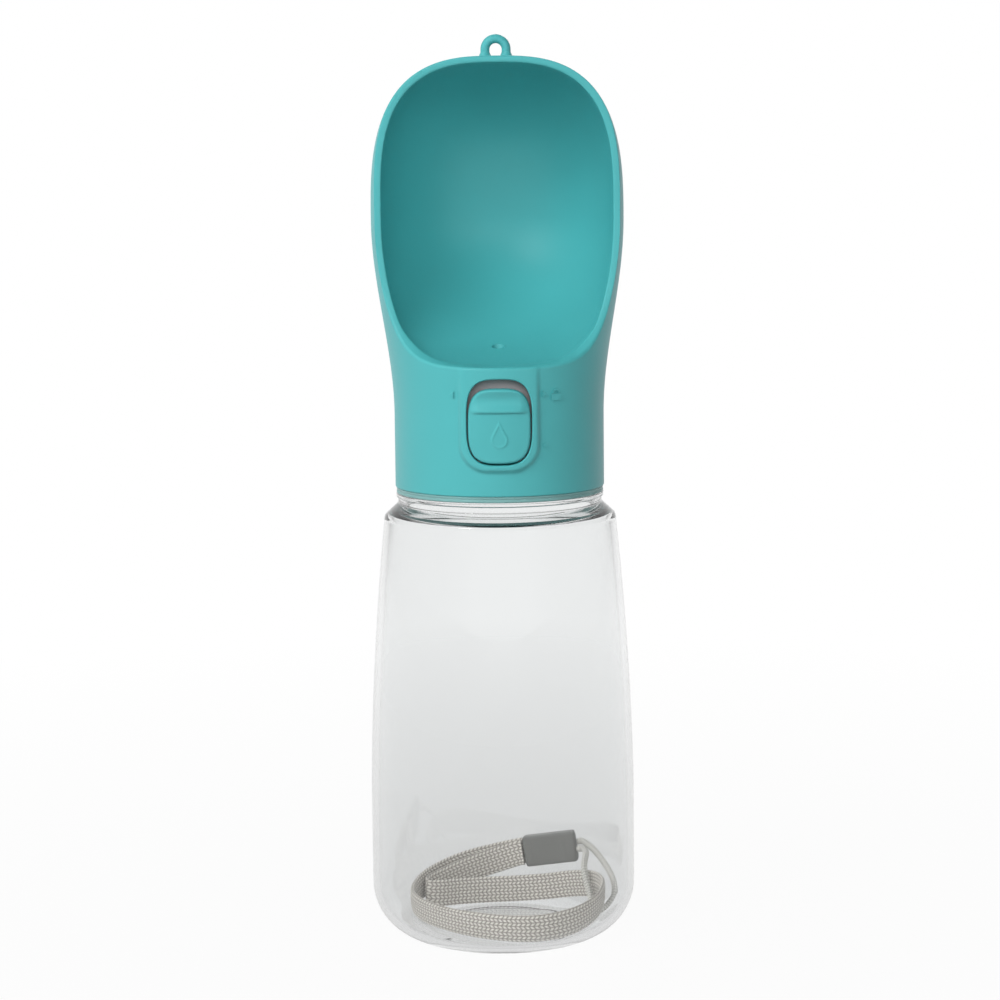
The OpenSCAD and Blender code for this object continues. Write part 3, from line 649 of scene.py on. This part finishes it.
# The ring's hole is wide enough to pass the neck's thread when the head lifts
seal_in = NECK_R + 0.85
seal_out = FLANGE_R - 0.1
ring = lathe("neck_seal_ring", rounded(
    [(seal_in, SEAT_Z), (seal_out, SEAT_Z), (seal_out, SEAT_Z + 0.55),
     (seal_out - 0.22, SEAT_Z + SEAL_T / 2), (seal_out, BASE_Z - 0.55), (seal_out, BASE_Z),
     (seal_in, BASE_Z)], [0.15, 0.3, 0.2, 0.3, 0.2, 0.3, 0.15]), 224)
dress(ring, ring_silicone, "seal", "neck_seal")


# Head shell ---

def half_w(z, inset):
    """Half the head's width at a height."""
    low = SKIRT_R - inset + (BOWL_R - SKIRT_R) * ease((z - FLARE_Z) / (WIDE_Z - FLARE_Z))
    rise = np.clip((z - WIDE_Z) / (TOP_Z - inset - WIDE_Z), 0, 1)
    high = (BOWL_R - inset) * (1 - rise ** DOME_POWER) ** (1 / DOME_POWER)
    return np.where(z <= WIDE_Z, low, high)


def mid_y(z):
    """Where the head's front and back halves meet at a height."""
    low = ease((z - FLARE_Z) / (WIDE_Z - FLARE_Z))
    high = 1 + (RIM_Y - 4) * np.clip((z - WIDE_Z) / (TOP_Z - WIDE_Z), 0, 1) ** 2
    return np.where(z <= WIDE_Z, low, high)


CROWN_Y = float(mid_y(np.array(TOP_Z)))
RIM_POWER, BACK_POWER = 2.4, 2.2


def back_y(z, inset):
    """How far back the head reaches at a height."""
    low = SKIRT_R - inset + (BACK_R - SKIRT_R) * ease((z - FLARE_Z) / (WIDE_Z - FLARE_Z))
    rise = np.clip((z - WIDE_Z) / (TOP_Z - inset - WIDE_Z), 0, 1)
    high = CROWN_Y + (BACK_R - inset - CROWN_Y) * (1 - rise ** RIM_POWER) ** (1 / BACK_POWER)
    return np.where(z <= WIDE_Z, low, high)


RIM_H = 37.0
RIM_REACH = SKIRT_R + BEZEL_OUT + 0.6


def rim_line(z):
    """The mouth's front edge, seen from the side: no wall stands in front of it."""
    w = np.maximum(0, 1 - (z - LIP_Z) / RIM_H)
    fall = np.maximum(0, 1 - w ** RIM_POWER) ** (1 / RIM_POWER)
    return RIM_Y - (RIM_REACH + RIM_Y) * (1 - fall)


SCOOP_Y = -36.0
SCOOP_H = WIDE_Z - LIP_Z + LIP_DROP
SCOOP_L = BACK_R - WALL - SCOOP_Y
SCOOP_START = math.asin((-0.97 * SKIRT_IN_R - SCOOP_Y) / SCOOP_L)
HOLLOW_Z0 = WIDE_Z - SCOOP_H * math.cos(SCOOP_START)


def floor_back(z):
    """Where the bowl's curved floor reaches a height."""
    drop = np.clip((WIDE_Z - z) / SCOOP_H, 0, 1)
    return SCOOP_Y + SCOOP_L * np.sqrt(np.maximum(0, 1 - drop ** 2))


def in_hollow(x, y, z):
    """Below 0 inside the bowl's hollow, above 0 outside it."""
    zc = np.clip(z, HOLLOW_Z0, TOP_Z - WALL - 1e-4)
    r = half_w(zc, WALL)
    y0 = mid_y(zc)
    back = back_y(zc, WALL)
    back = np.where(zc < WIDE_Z, np.minimum(floor_back(zc), back), back)
    low_mid = lerp(rim_line(zc) - 1, 1.0, ease((zc - LIP_Z - 4) / (WIDE_Z - LIP_Z - 4)))
    want = np.where(zc < WIDE_Z, low_mid, y0)
    mid = np.maximum(np.minimum(back - 0.4, want), y0 - 0.985 * r)
    e = np.arcsin(np.clip((mid - y0) / np.maximum(r, 1e-6), -1, 1))
    a = np.maximum(r * np.cos(e), 1e-3)
    rear = np.hypot(x / a, (y - mid) / np.maximum(back - mid, 1e-3)) - 1
    front = np.hypot(x, y - y0) / np.maximum(r, 1e-3) - 1
    value = np.where(y >= mid, rear, front)
    return np.where((z < HOLLOW_Z0) | (z > TOP_Z - WALL), np.maximum(value, 0.01), value)


def in_cavity(x, y, z):
    """Below 0 in the room under the bowl's floor."""
    r = half_w(z, WALL)
    y0 = mid_y(z)
    y1 = back_y(z, WALL)
    skin = np.hypot(x / r, np.where(y > y0, (y - y0) / (y1 - y0), (y - y0) / r)) - 1
    under = np.where(z + FLOOR_T > HOLLOW_Z0, (floor_back(z + FLOOR_T) + FLOOR_T - y) / 20, -1)
    return np.maximum(np.maximum(skin, under), (z - WIDE_Z + 6) / 20)


def reach(inside, origin, way, far=110.0):
    """How far a ray runs from origin along way before it leaves a hollow."""
    steps = np.linspace(0, 1, 90)[1:]
    hi = np.full(way.shape[:-1], np.inf)
    for s in steps:
        p = origin + way * (far * s)
        out = inside(p[..., 0], p[..., 1], p[..., 2]) > 0
        hi = np.where(out & np.isinf(hi), far * s, hi)
    lo = hi - far * steps[0]
    for _ in range(26):
        m = (lo + hi) / 2
        p = origin + way * m[..., None]
        out = inside(p[..., 0], p[..., 1], p[..., 2]) > 0
        hi = np.where(out, m, hi)
        lo = np.where(out, lo, m)
    return (lo + hi) / 2


def outer_at(q, z):
    """A point of the outside at the ring angle q and the height z, without the bezel."""
    a, y0, y1 = half_w(z, 0), mid_y(z), back_y(z, 0)
    x = a * np.cos(q)
    y = y0 + np.where(np.sin(q) > 0, y1 - y0, a) * np.sin(q)
    return np.stack([x, y, z + 0 * x], -1)


BEZEL_CORNER, BEZEL_BELOW, BEZEL_EDGE, BEZEL_SLOPE = 8.0, 2.3, 1.35, 1.7


def bezel_gap(x, z):
    """Distance from the bezel's outline, seen from the front: below 0 on the bezel."""
    w = BEZEL_W / 2
    zc = SLOT_Z0 - BEZEL_BELOW + BEZEL_CORNER
    dx = np.abs(x) - (w - BEZEL_CORNER)
    dz = np.maximum(zc - z, 0)
    low = np.hypot(np.maximum(dx, 0), dz) - BEZEL_CORNER
    return np.where(z < zc, np.where(dx > 0, low, dz - BEZEL_CORNER), np.abs(x) - w)


def with_bezel(p):
    """Points of the skirt, those on the bezel brought out to its face."""
    x, y, z = p[..., 0], p[..., 1], p[..., 2]
    r = np.hypot(x, y)
    on = 1 - ease((bezel_gap(x, z) + BEZEL_EDGE) / BEZEL_SLOPE)
    on = np.where((y < 0) & (z < LIP_Z + 0.5), on, 0)
    more = np.maximum(0, SKIRT_R + BEZEL_OUT - r) * on
    k = (r + more) / np.maximum(r, 1e-6)
    return np.stack([x * k, y * k, z], -1)


def resample(line, at):
    """Points of polylines (columns, points, 3) at parts 0 to 1 of their lengths."""
    gaps = np.linalg.norm(np.diff(line, axis=1), axis=2)
    s = np.concatenate([np.zeros((len(line), 1)), np.cumsum(gaps, 1)], 1)
    out = np.empty((len(line), len(at), 3))
    for i in range(len(line)):
        want = at * s[i, -1]
        for k in range(3):
            out[i, :, k] = np.interp(want, s[i], line[i, :, k])
    return out, s[:, -1]


# The front of the rim and its length for each column there and elsewhere
FRONT_X, FRONT_H, FRONT_STEP, RIM_STEP = 13.5, 4, 0.42, 1.15


def rim_columns():
    """Ring angles spread evenly along the rim, closer together in front."""
    q = np.radians(np.linspace(-90, 90, 6000))
    lo, hi = np.full_like(q, LIP_Z), np.full_like(q, TOP_Z - 1e-4)
    for _ in range(40):
        m = (lo + hi) / 2
        behind = outer_at(q, m)[:, 1] > rim_line(m)
        lo = np.where(behind, m, lo)
        hi = np.where(behind, hi, m)
    rim_z = (lo + hi) / 2
    p = outer_at(q, rim_z)
    gaps = np.linalg.norm(np.diff(p, axis=0), axis=1)
    front = (np.abs(p[1:, 0]) < FRONT_X) & (p[1:, 2] < LIP_Z + FRONT_H)
    cost = gaps / np.where(front, FRONT_STEP, RIM_STEP)
    s = np.concatenate([[0], np.cumsum(cost)])
    n = int(round(s[-1]))
    at = np.linspace(0, s[-1], n + 1)
    half_q, half_z = np.interp(at, s, q), np.interp(at, s, rim_z)
    q = np.concatenate([half_q, math.pi - half_q[-2:0:-1]])
    return q, np.concatenate([half_z, half_z[-2:0:-1]])


def toward(a, b, distance):
    """Points a distance from a on the way to b, at most about half way."""
    gap = b - a
    length = np.linalg.norm(gap, axis=-1, keepdims=True)
    return a + gap / np.maximum(length, 1e-9) * np.minimum(distance, 0.46 * length)


# Where rays start in the bowl and in the room under it, and how low the bowl's lean
BOWL_EYE, ROOM_EYE, LOWEST_LEAN = (0.0, -2.0, WIDE_Z - 4), (0.0, 0.0, 148.0), -62
SKIN_ROWS, HOLLOW_RAYS, BOWL_ROWS, CAVITY_ROWS = 420, 460, 300, 90
SOFT_OUT, SOFT_IN, SOFT_BASE = 0.95, 0.8, 0.4


def bowl_lines(rim):
    """The bowl's inner wall as a line from each rim point to the back, cut at the mouth."""
    centre = np.array(BOWL_EYE)
    fan = np.arctan2(rim[:, 2] - centre[2], rim[:, 0])
    lean = np.radians(np.linspace(LOWEST_LEAN, 90, HOLLOW_RAYS))
    way = np.stack([np.cos(lean) * np.cos(fan)[:, None], np.sin(lean) + 0 * fan[:, None],
                    np.cos(lean) * np.sin(fan)[:, None]], -1)
    hollow = centre + way * reach(in_hollow, centre, way)[..., None]
    ahead = hollow[..., 1] < rim_line(hollow[..., 2])
    part = np.linspace(0, 1, BOWL_ROWS)
    lines = np.empty((len(rim), BOWL_ROWS, 3))
    for i, row in enumerate(ahead):
        j = np.max(np.nonzero(row)[0]) + 1 if row.any() else 0
        line = hollow[i, j:]
        if j > 0:
            a, b = hollow[i, j - 1], hollow[i, j]
            ga, gb = (v[1] - float(rim_line(v[2])) for v in (a, b))
            line = np.vstack([a + (b - a) * (ga / (ga - gb)), line])
        lines[i], _ = resample(line[None], part)
    return lines


def cavity_lines(q, base_in):
    """The room under the bowl's floor as a line from each base point up to the axis."""
    low = np.array(ROOM_EYE)
    start = base_in - low
    rise0 = np.arctan2(start[:, 2], np.hypot(start[:, 0], start[:, 1]))
    rise = lerp(rise0[:, None], math.pi / 2, np.linspace(0, 1, CAVITY_ROWS)[None] ** 0.9)
    way = np.stack([np.cos(rise) * np.cos(q)[:, None], np.cos(rise) * np.sin(q)[:, None],
                    np.sin(rise)], -1)
    cavity = low + way * reach(in_cavity, low, way, 75.0)[..., None]
    cavity[:, 0] = base_in
    cavity[..., 2] = np.maximum(cavity[..., 2], BASE_Z)
    return cavity


def make_shell():
    """One skin: up the room under the floor, round the base, up the outside, over the rim
    and down the bowl."""
    q, rim_z = rim_columns()
    cols = len(q)
    z = BASE_Z + (rim_z[:, None] - BASE_Z) * np.linspace(0, 1, SKIN_ROWS)
    outer = with_bezel(outer_at(q[:, None], z))
    rim = outer[:, -1]
    inner = bowl_lines(rim)
    rim_in = inner[:, 0]

    total = resample(outer, np.array([0.0, 1.0]))[1]
    inner_len = resample(inner, np.array([0.0, 1.0]))[1]
    skin, bowl = np.empty((cols, 96, 3)), np.empty((cols, 74, 3))
    for i in range(cols):
        at = lerp(SOFT_BASE / total[i], 1 - SOFT_OUT / total[i], np.linspace(0, 1, 96))
        skin[i], _ = resample(outer[i:i + 1], at)
        at = lerp(SOFT_IN / inner_len[i], 0.985, np.linspace(0, 1, 74))
        bowl[i], _ = resample(inner[i:i + 1], at)

    base_out = outer[:, 0]
    base_in = np.stack([SKIRT_IN_R * np.cos(q), SKIRT_IN_R * np.sin(q), 0 * q + BASE_Z], -1)
    cavity = cavity_lines(q, base_in)
    rows = list(cavity[:, 1:80].transpose(1, 0, 2))[::-1]
    rows += bezier(toward(base_in, cavity[:, 2], 0.3), base_in, toward(base_in, base_out, 0.3), 3)
    rows += bezier(toward(base_out, base_in, SOFT_BASE), base_out, skin[:, 0], 5)
    rows += list(skin[:, 1:-1].transpose(1, 0, 2))
    rows += bezier(skin[:, -1], rim, toward(rim, rim_in, SOFT_OUT), 7)
    rows += bezier(toward(rim_in, rim, SOFT_IN), rim_in, bowl[:, 0], 7)
    rows += list(bowl[:, 1:].transpose(1, 0, 2))
    p = np.concatenate(rows + [[cavity[:, -1].mean(0)], [inner[:, -1].mean(0)]])
    return add_mesh("shell_moulding", p, fanned_faces(len(rows), cols), smooth_deg=0)


shell = make_shell()


def squircle(w, h, n=160):
    """The outline of the slot and the button."""
    return superellipse(np.arange(n) * 2 * math.pi / n, w / 2, h / 2, 3.2)


def slot_tool():
    """The slot's cutter: a squircle column with a flared mouth, which rounds the slot's edge."""
    outline = squircle(SLOT_W, SLOT_H)
    way = outline / np.linalg.norm(outline, axis=1)[:, None]
    face = SKIRT_R + BEZEL_OUT
    rows = []
    for r, grow in ((face - 8, 0), (face - 0.5, 0), (face - 0.28, 0.05), (face - 0.12, 0.14),
                    (face - 0.02, 0.3), (face + 0.1, 0.55), (face + 5, 0.6)):
        x, z = (outline + way * grow).T
        rows.append(np.stack([x, -np.sqrt(r * r - x * x), SLOT_ZC + z], 1))
    faces = tube_faces(len(rows), len(outline))
    return add_mesh("slot_tool", np.concatenate(rows), faces, smooth_deg=0)


def box(name, low, high):
    """A plain cutter between two corners."""
    (x0, y0, z0), (x1, y1, z1) = low, high
    p = [(x, y, z) for z in (z0, z1) for y in (y0, y1) for x in (x0, x1)]
    faces = [(0, 2, 3, 1), (4, 5, 7, 6), (0, 1, 5, 4), (2, 6, 7, 3), (0, 4, 6, 2), (1, 3, 7, 5)]
    return add_mesh(name, p, faces, smooth_deg=0)


def cut(obj, *tools):
    """Each tool taken away from the mesh, which then stays as it is cut."""
    for tool in tools:
        step = obj.modifiers.new("cut", "BOOLEAN")
        step.operation = "DIFFERENCE"
        step.solver = "EXACT"
        step.object = tool
    bpy.context.view_layer.update()
    depsgraph = bpy.context.evaluated_depsgraph_get()
    mesh = bpy.data.meshes.new_from_object(obj.evaluated_get(depsgraph))
    obj.modifiers.clear()
    obj.data = mesh
    for tool in tools:
        bpy.data.objects.remove(tool)


# Where the outlet is, and the radius that stands for its cutter's axis
OUTLET_Y, PIN_R = -5, 0.01
room_x = SLOT_W / 2 + 1.6
carrier_room = box("carrier_room", (-room_x, -SKIRT_IN_R, DECK_Z),
                   (room_x, -SKIRT_IN_R + 8.5, SLOT_Z0 + SLOT_H + 0.9))
floor_at = WIDE_Z - SCOOP_H * math.sqrt(1 - ((OUTLET_Y - SCOOP_Y) / SCOOP_L) ** 2)
mouth_r = OUTLET_R + 0.2
outlet_cut = lathe("outlet_cut", [
    (PIN_R, floor_at - 8), (OUTLET_R, floor_at - 8), (OUTLET_R, floor_at - 0.5),
    (mouth_r, floor_at + 0.35), (mouth_r, floor_at + 2), (PIN_R, floor_at + 2)], 64)
outlet_cut.location.y = OUTLET_Y * MM
cut(shell, carrier_room, slot_tool(), outlet_cut)
shell.data.materials.clear()
shell.data.shade_smooth()
shell.data.set_sharp_from_angle(angle=math.radians(38))
dress(shell, teal, "head", "head_shell")


# Button ---

BUTTON_W = SLOT_W - 2 * BUTTON_GAP
BUTTON_Z0 = SLOT_Z0 + BUTTON_GAP + 0.1
BUTTON_ZC = BUTTON_Z0 + BUTTON_H / 2
# Radii from the bottle's axis: the button's back and face, and the slide plate's inside
BUTTON_IN_R = SKIRT_IN_R
BUTTON_OUT_R = SKIRT_R + BEZEL_OUT + 0.1
PLATE_IN_R = SKIRT_IN_R - BUTTON_GAP - 1.6
LEG_X, LEG_W, LEG_H, HOOK = 4.8, 1.6, 5.0, 0.8
DROP_R, DROP_H, DROP_Z, DROP_LINE = 2.1, 4.5, 6.6, 0.3
RIDGE_AT, RIDGE_OUT, DIP_IN = 0.66, 0.75, 0.95
EDGE_SOFT = 0.7


def drop_gap(x, z):
    """Distance from a water drop's outline, below 0 inside."""
    ny = DROP_R / DROP_H
    nx = math.sqrt(1 - ny * ny)
    x = np.abs(x)
    return np.where(z * nx - x * ny > 0, x * nx + z * ny, np.hypot(x, z)) - DROP_R


def button_radius(x, z):
    """Radius of the button's face about the bottle's axis, at a place seen from the front."""
    step = BUTTON_Z0 + BUTTON_H * RIDGE_AT
    top = BUTTON_Z0 + BUTTON_H
    rise = ease((z - step) / 0.7) * RIDGE_OUT * ease((BUTTON_W / 2 - np.abs(x)) / 3.0)
    scoop = np.clip((z - step - 1.1) / (top - step - 1.7), 0, 1)
    dip = np.sin(math.pi * scoop) ** 1.2 * (DIP_IN - 0.009 * x * x)
    drop = drop_gap(x, z - BUTTON_Z0 - DROP_Z) / DROP_LINE
    relief = 0.2 * np.exp(-drop ** 2) + 0.07 * ease(-drop)
    return BUTTON_OUT_R + rise - dip + relief


def make_button():
    """The button's face as rings that grow from its middle, then its sides and back."""
    n, rings = 160, 64
    outline = squircle(BUTTON_W, BUTTON_H, n)
    rows = []
    for t in np.arange(1, rings + 1) / rings:
        x = outline[:, 0] * t
        z = BUTTON_ZC + outline[:, 1] * t
        r = button_radius(x, z)
        near_edge = max(0.0, EDGE_SOFT - (1 - t) * BUTTON_W / 2)
        fall = EDGE_SOFT - math.sqrt(EDGE_SOFT ** 2 - near_edge ** 2)
        rows.append(np.stack([x, -np.sqrt(r * r - x * x) + fall, z], 1))
    x, y, z = rows[-1].T
    back = -np.sqrt(BUTTON_IN_R ** 2 - x ** 2)
    for t in (0.33, 0.66, 1.0):
        rows.append(np.stack([x, lerp(y, back, t), z], 1))
    x = x * 0.6
    rows.append(np.stack([x, -np.sqrt(BUTTON_IN_R ** 2 - x ** 2), lerp(BUTTON_ZC, z, 0.6)], 1))
    front = -float(button_radius(np.array(0.0), np.array(BUTTON_ZC)))
    p = np.concatenate(rows + [[(0, front, BUTTON_ZC)], [(0, -BUTTON_IN_R, BUTTON_ZC)]])
    return add_mesh("button_face", p, fanned_faces(len(rows), n), smooth_deg=48)


def make_leg(side):
    """One of the button's two legs, hooked behind the slide plate."""
    x0, x1, x2 = (side * v for v in (LEG_X, LEG_X + LEG_W, LEG_X + LEG_W + HOOK))
    back = -PLATE_IN_R + 2
    hook = -math.sqrt(PLATE_IN_R ** 2 - x2 * x2) + 0.25
    outline = rounded([(x0, -BUTTON_IN_R - 0.5), (x1, -BUTTON_IN_R - 0.5), (x1, hook), (x2, hook),
                       (x2, back - 0.35), (x1, back), (x0, back)], 0.15, 3)
    p = [(x, y, z) for z in (PRESS_Z - LEG_H / 2, PRESS_Z + LEG_H / 2) for x, y in outline]
    return add_mesh("button_leg", p, tube_faces(2, len(outline), flip=True), smooth_deg=30)


for side in (-1, 1):
    dress(make_leg(side), teal, "button")
dress(make_button(), teal, "button", "button")


# Marks and strap eye ---

MARK_OUT, MARK_IN, EYE_SINK, FOOT_SPREAD = 0.45, 0.3, 1.2, 0.42


def on_skirt(p, high):
    """Points of the head's front at (x, z), standing out by high."""
    x, z = p[..., 0], p[..., 1]
    y = mid_y(z) - np.sqrt((half_w(z, 0) + high) ** 2 - x * x)
    return np.stack([x, y, z], -1)


def raised(name, grid):
    """A low mark moulded on the skirt: a grid of (x, z) points with sides down into the wall."""
    m, n = grid.shape[:2]
    p = np.concatenate([on_skirt(grid, k).reshape(-1, 3) for k in (MARK_OUT, -MARK_IN)])
    faces = grid_faces(m, n, closed_cols=False)
    faces += [tuple(m * n + k for k in f[::-1]) for f in faces]
    edge = [(0, c) for c in range(n)] + [(r, n - 1) for r in range(1, m)]
    edge += [(m - 1, c) for c in range(n - 2, -1, -1)] + [(r, 0) for r in range(m - 2, 0, -1)]
    edge = [r * n + c for r, c in edge]
    for a, b in zip(edge, edge[1:] + edge[:1]):
        faces.append((b, a, m * n + a, m * n + b))
    dress(add_mesh(name, p, faces, smooth_deg=30), teal, "head")


def arrow(x, z, way):
    """A small triangle with its point to one side."""
    u, v = np.meshgrid(np.linspace(0, 1, 7), np.linspace(-1, 1, 9), indexing="ij")
    return np.stack([x + way * (u - 0.5) * 1.1, z + v * lerp(0.95, 0.04, u)], -1)


def make_marks():
    """An open sign on the left; an arrow, a padlock and a dot on the right."""
    u, v = np.meshgrid(np.linspace(-1, 1, 11), np.linspace(-1, 1, 11), indexing="ij")
    disc = np.stack([u * np.sqrt(1 - v * v / 2), v * np.sqrt(1 - u * u / 2)], -1)
    turn, r = np.meshgrid(np.linspace(0, math.pi, 17), np.linspace(0.62, 0.98, 4), indexing="ij")
    lock_x, lock_z = 15.9, 160.2
    raised("open_mark", arrow(-13.2, 160.4, -1))
    raised("lock_arrow", arrow(12.7, 160.4, 1))
    raised("lock_body", np.stack([lock_x + u * 1.3, lock_z - 0.75 + v * 0.95], -1))
    raised("lock_bow", np.stack([lock_x + r * np.cos(turn),
                                 lock_z + 0.25 + r * np.sin(turn) * 1.3], -1))
    raised("stop_dot", np.array([12.9, 146.1]) + disc * 0.62)


make_marks()


def make_eye():
    """The bail on the crown: up one leg, round and down the other, with spread feet."""
    mean = EYE_HOLE_R + EYE_WIRE / 2
    zc = TOP_Z + EYE_LEG
    path = [(mean, z) for z in np.linspace(-EYE_LEG - EYE_SINK, 0, 14)[:-1]]
    path += [(mean * math.cos(a), mean * math.sin(a)) for a in np.linspace(0, math.pi, 40)]
    path += [(-mean, z) for z in np.linspace(0, -EYE_LEG - EYE_SINK, 14)[1:]]
    path = np.array(path)
    way = np.gradient(path, axis=0)
    way /= np.linalg.norm(way, axis=1)[:, None]
    n = 32
    q = (np.arange(n) * 2 * math.pi / n)[:, None]
    rows = []
    for (x, z), (wx, wz) in zip(path, way):
        foot = ease((-z - EYE_LEG * 0.35) / (EYE_LEG * 0.9))
        r = EYE_WIRE / 2 * (1 + FOOT_SPREAD * foot)
        side, back = np.array([wz, 0, -wx]), np.array([0, 1, 0])
        c = np.array([x, RIM_Y + 5, zc + z])
        rows.append(c + (np.cos(q) * side + np.sin(q) * back) * r)
    faces = tube_faces(len(rows), n, flip=True)
    return add_mesh("strap_eye", np.concatenate(rows), faces, smooth_deg=60)


dress(make_eye(), teal, "head")


# Materials on the CAD nodes that are kept ---

NODE_MATERIALS = {
    "valve_body": teal_inner, "duct_seal": milky_silicone, "gland_ring": teal_inner,
    "stem_seal": black, "stem": stem_white, "valve_washer": milky_silicone,
    "return_spring": steel, "spring_cap": teal_inner, "cap_seal": black,
    "button_carrier": plate_grey, "carrier_screw": steel}
for name, material in NODE_MATERIALS.items():
    data = nodes[name].data
    data.materials.clear()
    data.materials.append(material)


# Stage and light ---

# Soft light from all round; how grey clear pieces see the sides, and the floor in front
AMBIENT, SIDE_GREY, NEAR_GREY = 0.07, 0.42, 0.62
FLOOR_HALF = 3.0


def make_stage():
    """A white floor that keeps the shadow; clear pieces see it greyer in front and aside."""
    mesh = bpy.data.meshes.new("floor")
    s = FLOOR_HALF
    mesh.from_pydata([(-s, -s, 0), (s, -s, 0), (s, s, 0), (-s, s, 0)], [], [(0, 1, 2, 3)])
    floor = bpy.data.objects.new("floor", mesh)
    scene.collection.objects.link(floor)
    m = Surface("floor_white")
    m.set(Base_Color=(0.5, 0.5, 0.5, 1), Roughness=0.9, Specular_IOR_Level=0.0)
    place = m.add("ShaderNodeTexCoord").outputs["Object"]
    x, y, _ = m.add("ShaderNodeSeparateXYZ", Vector=place).outputs
    gap = m.add("ShaderNodeVectorMath", operation="LENGTH")
    m.put(gap.inputs[0], place)
    path = m.add("ShaderNodeLightPath").outputs
    through = m.math("MAXIMUM", path["Is Transmission Ray"], path["Transmission Depth"],
                     clamp=True)
    seen = m.math("MAXIMUM", path["Is Camera Ray"],
                  m.math("MAXIMUM", path["Is Glossy Ray"], through))
    aside = m.ramp(m.math("ABSOLUTE", x), 0.25, 1.2, 1.0, SIDE_GREY)
    away = m.ramp(y, -0.15, 0.55, NEAR_GREY, 1.0)
    loss = m.math("SUBTRACT", m.math("MULTIPLY", aside, away), 1.0)
    strength = m.math("ADD", 1.0, m.math("MULTIPLY", through, loss))
    glow = m.add("ShaderNodeEmission", Strength=strength).outputs[0]
    share = m.ramp(gap.outputs["Value"], 0.05, 0.5, 0.95, 1.0)
    m.put(m.out, m.choose(m.math("MULTIPLY", seen, share), m.shader.outputs[0], glow))
    mesh.materials.append(m.material)


def make_world():
    """White for the camera, with a little soft light. Clear pieces see grey sides, and shiny
    ones a bright left, back and floor."""
    scene.world = bpy.data.worlds.new("studio")
    m = Nodes(scene.world)
    m.tree.nodes.clear()

    def fade(value, *ends):
        return m.ramp(value, *ends, kind="SMOOTHSTEP")

    def light(strength):
        return m.add("ShaderNodeBackground", Color=(1, 1, 1, 1), Strength=strength).outputs[0]

    way = m.add("ShaderNodeTexCoord").outputs["Generated"]
    x, y, z = m.add("ShaderNodeSeparateXYZ", Vector=way).outputs
    path = m.add("ShaderNodeLightPath").outputs
    left_or_back = m.math("MAXIMUM", fade(x, 0.0, -1.0, 0.1, 0.85), fade(y, 0.0, 1.0, 0.1, 1.0))
    shine = light(m.math("MAXIMUM", left_or_back, fade(z, 0.0, 0.5, 0.95, 0.1)))
    cards = light(fade(m.math("ABSOLUTE", x), 0.35, 0.95, 1.0, SIDE_GREY))
    through = m.math("MAXIMUM", path["Is Transmission Ray"], path["Transmission Depth"])
    unseen = m.choose(through, m.choose(path["Is Glossy Ray"], light(AMBIENT), shine), cards)
    m.add("ShaderNodeOutputWorld", Surface=m.choose(path["Is Camera Ray"], unseen, light(1.0)))


def lamp(name, at, aim_z, size, watts, mirrored=False):
    """A square soft box aimed at the bottle's axis; only a mirrored one makes highlights."""
    data = bpy.data.lights.new(name, "AREA")
    data.size = size
    data.energy = watts
    obj = bpy.data.objects.new(name, data)
    scene.collection.objects.link(obj)
    obj.location = at
    obj.visible_glossy = mirrored
    obj.visible_transmission = False
    way = Vector((0, 0, aim_z)) - Vector(at)
    obj.rotation_euler = way.to_track_quat("-Z", "Y").to_euler()


make_stage()
make_world()
lamp("key", (-0.8, -0.9, 0.9), 0.17, 0.9, 13.5)
lamp("front", (0.0, -1.3, 0.7), 0.17, 0.6, 5.3)
lamp("spot", (-0.55, -0.62, 0.95), 0.2, 0.22, 1.0, mirrored=True)
lamp("side", (-1.2, 0.0, 0.4), 0.17, 0.6, 2.8)
lamp("fill", (0.55, -1.0, 0.6), 0.17, 0.6, 2.5)
lamp("back", (0.1, 1.2, 0.8), 0.15, 0.8, 6, mirrored=True)

scene.view_settings.view_transform = "Standard"
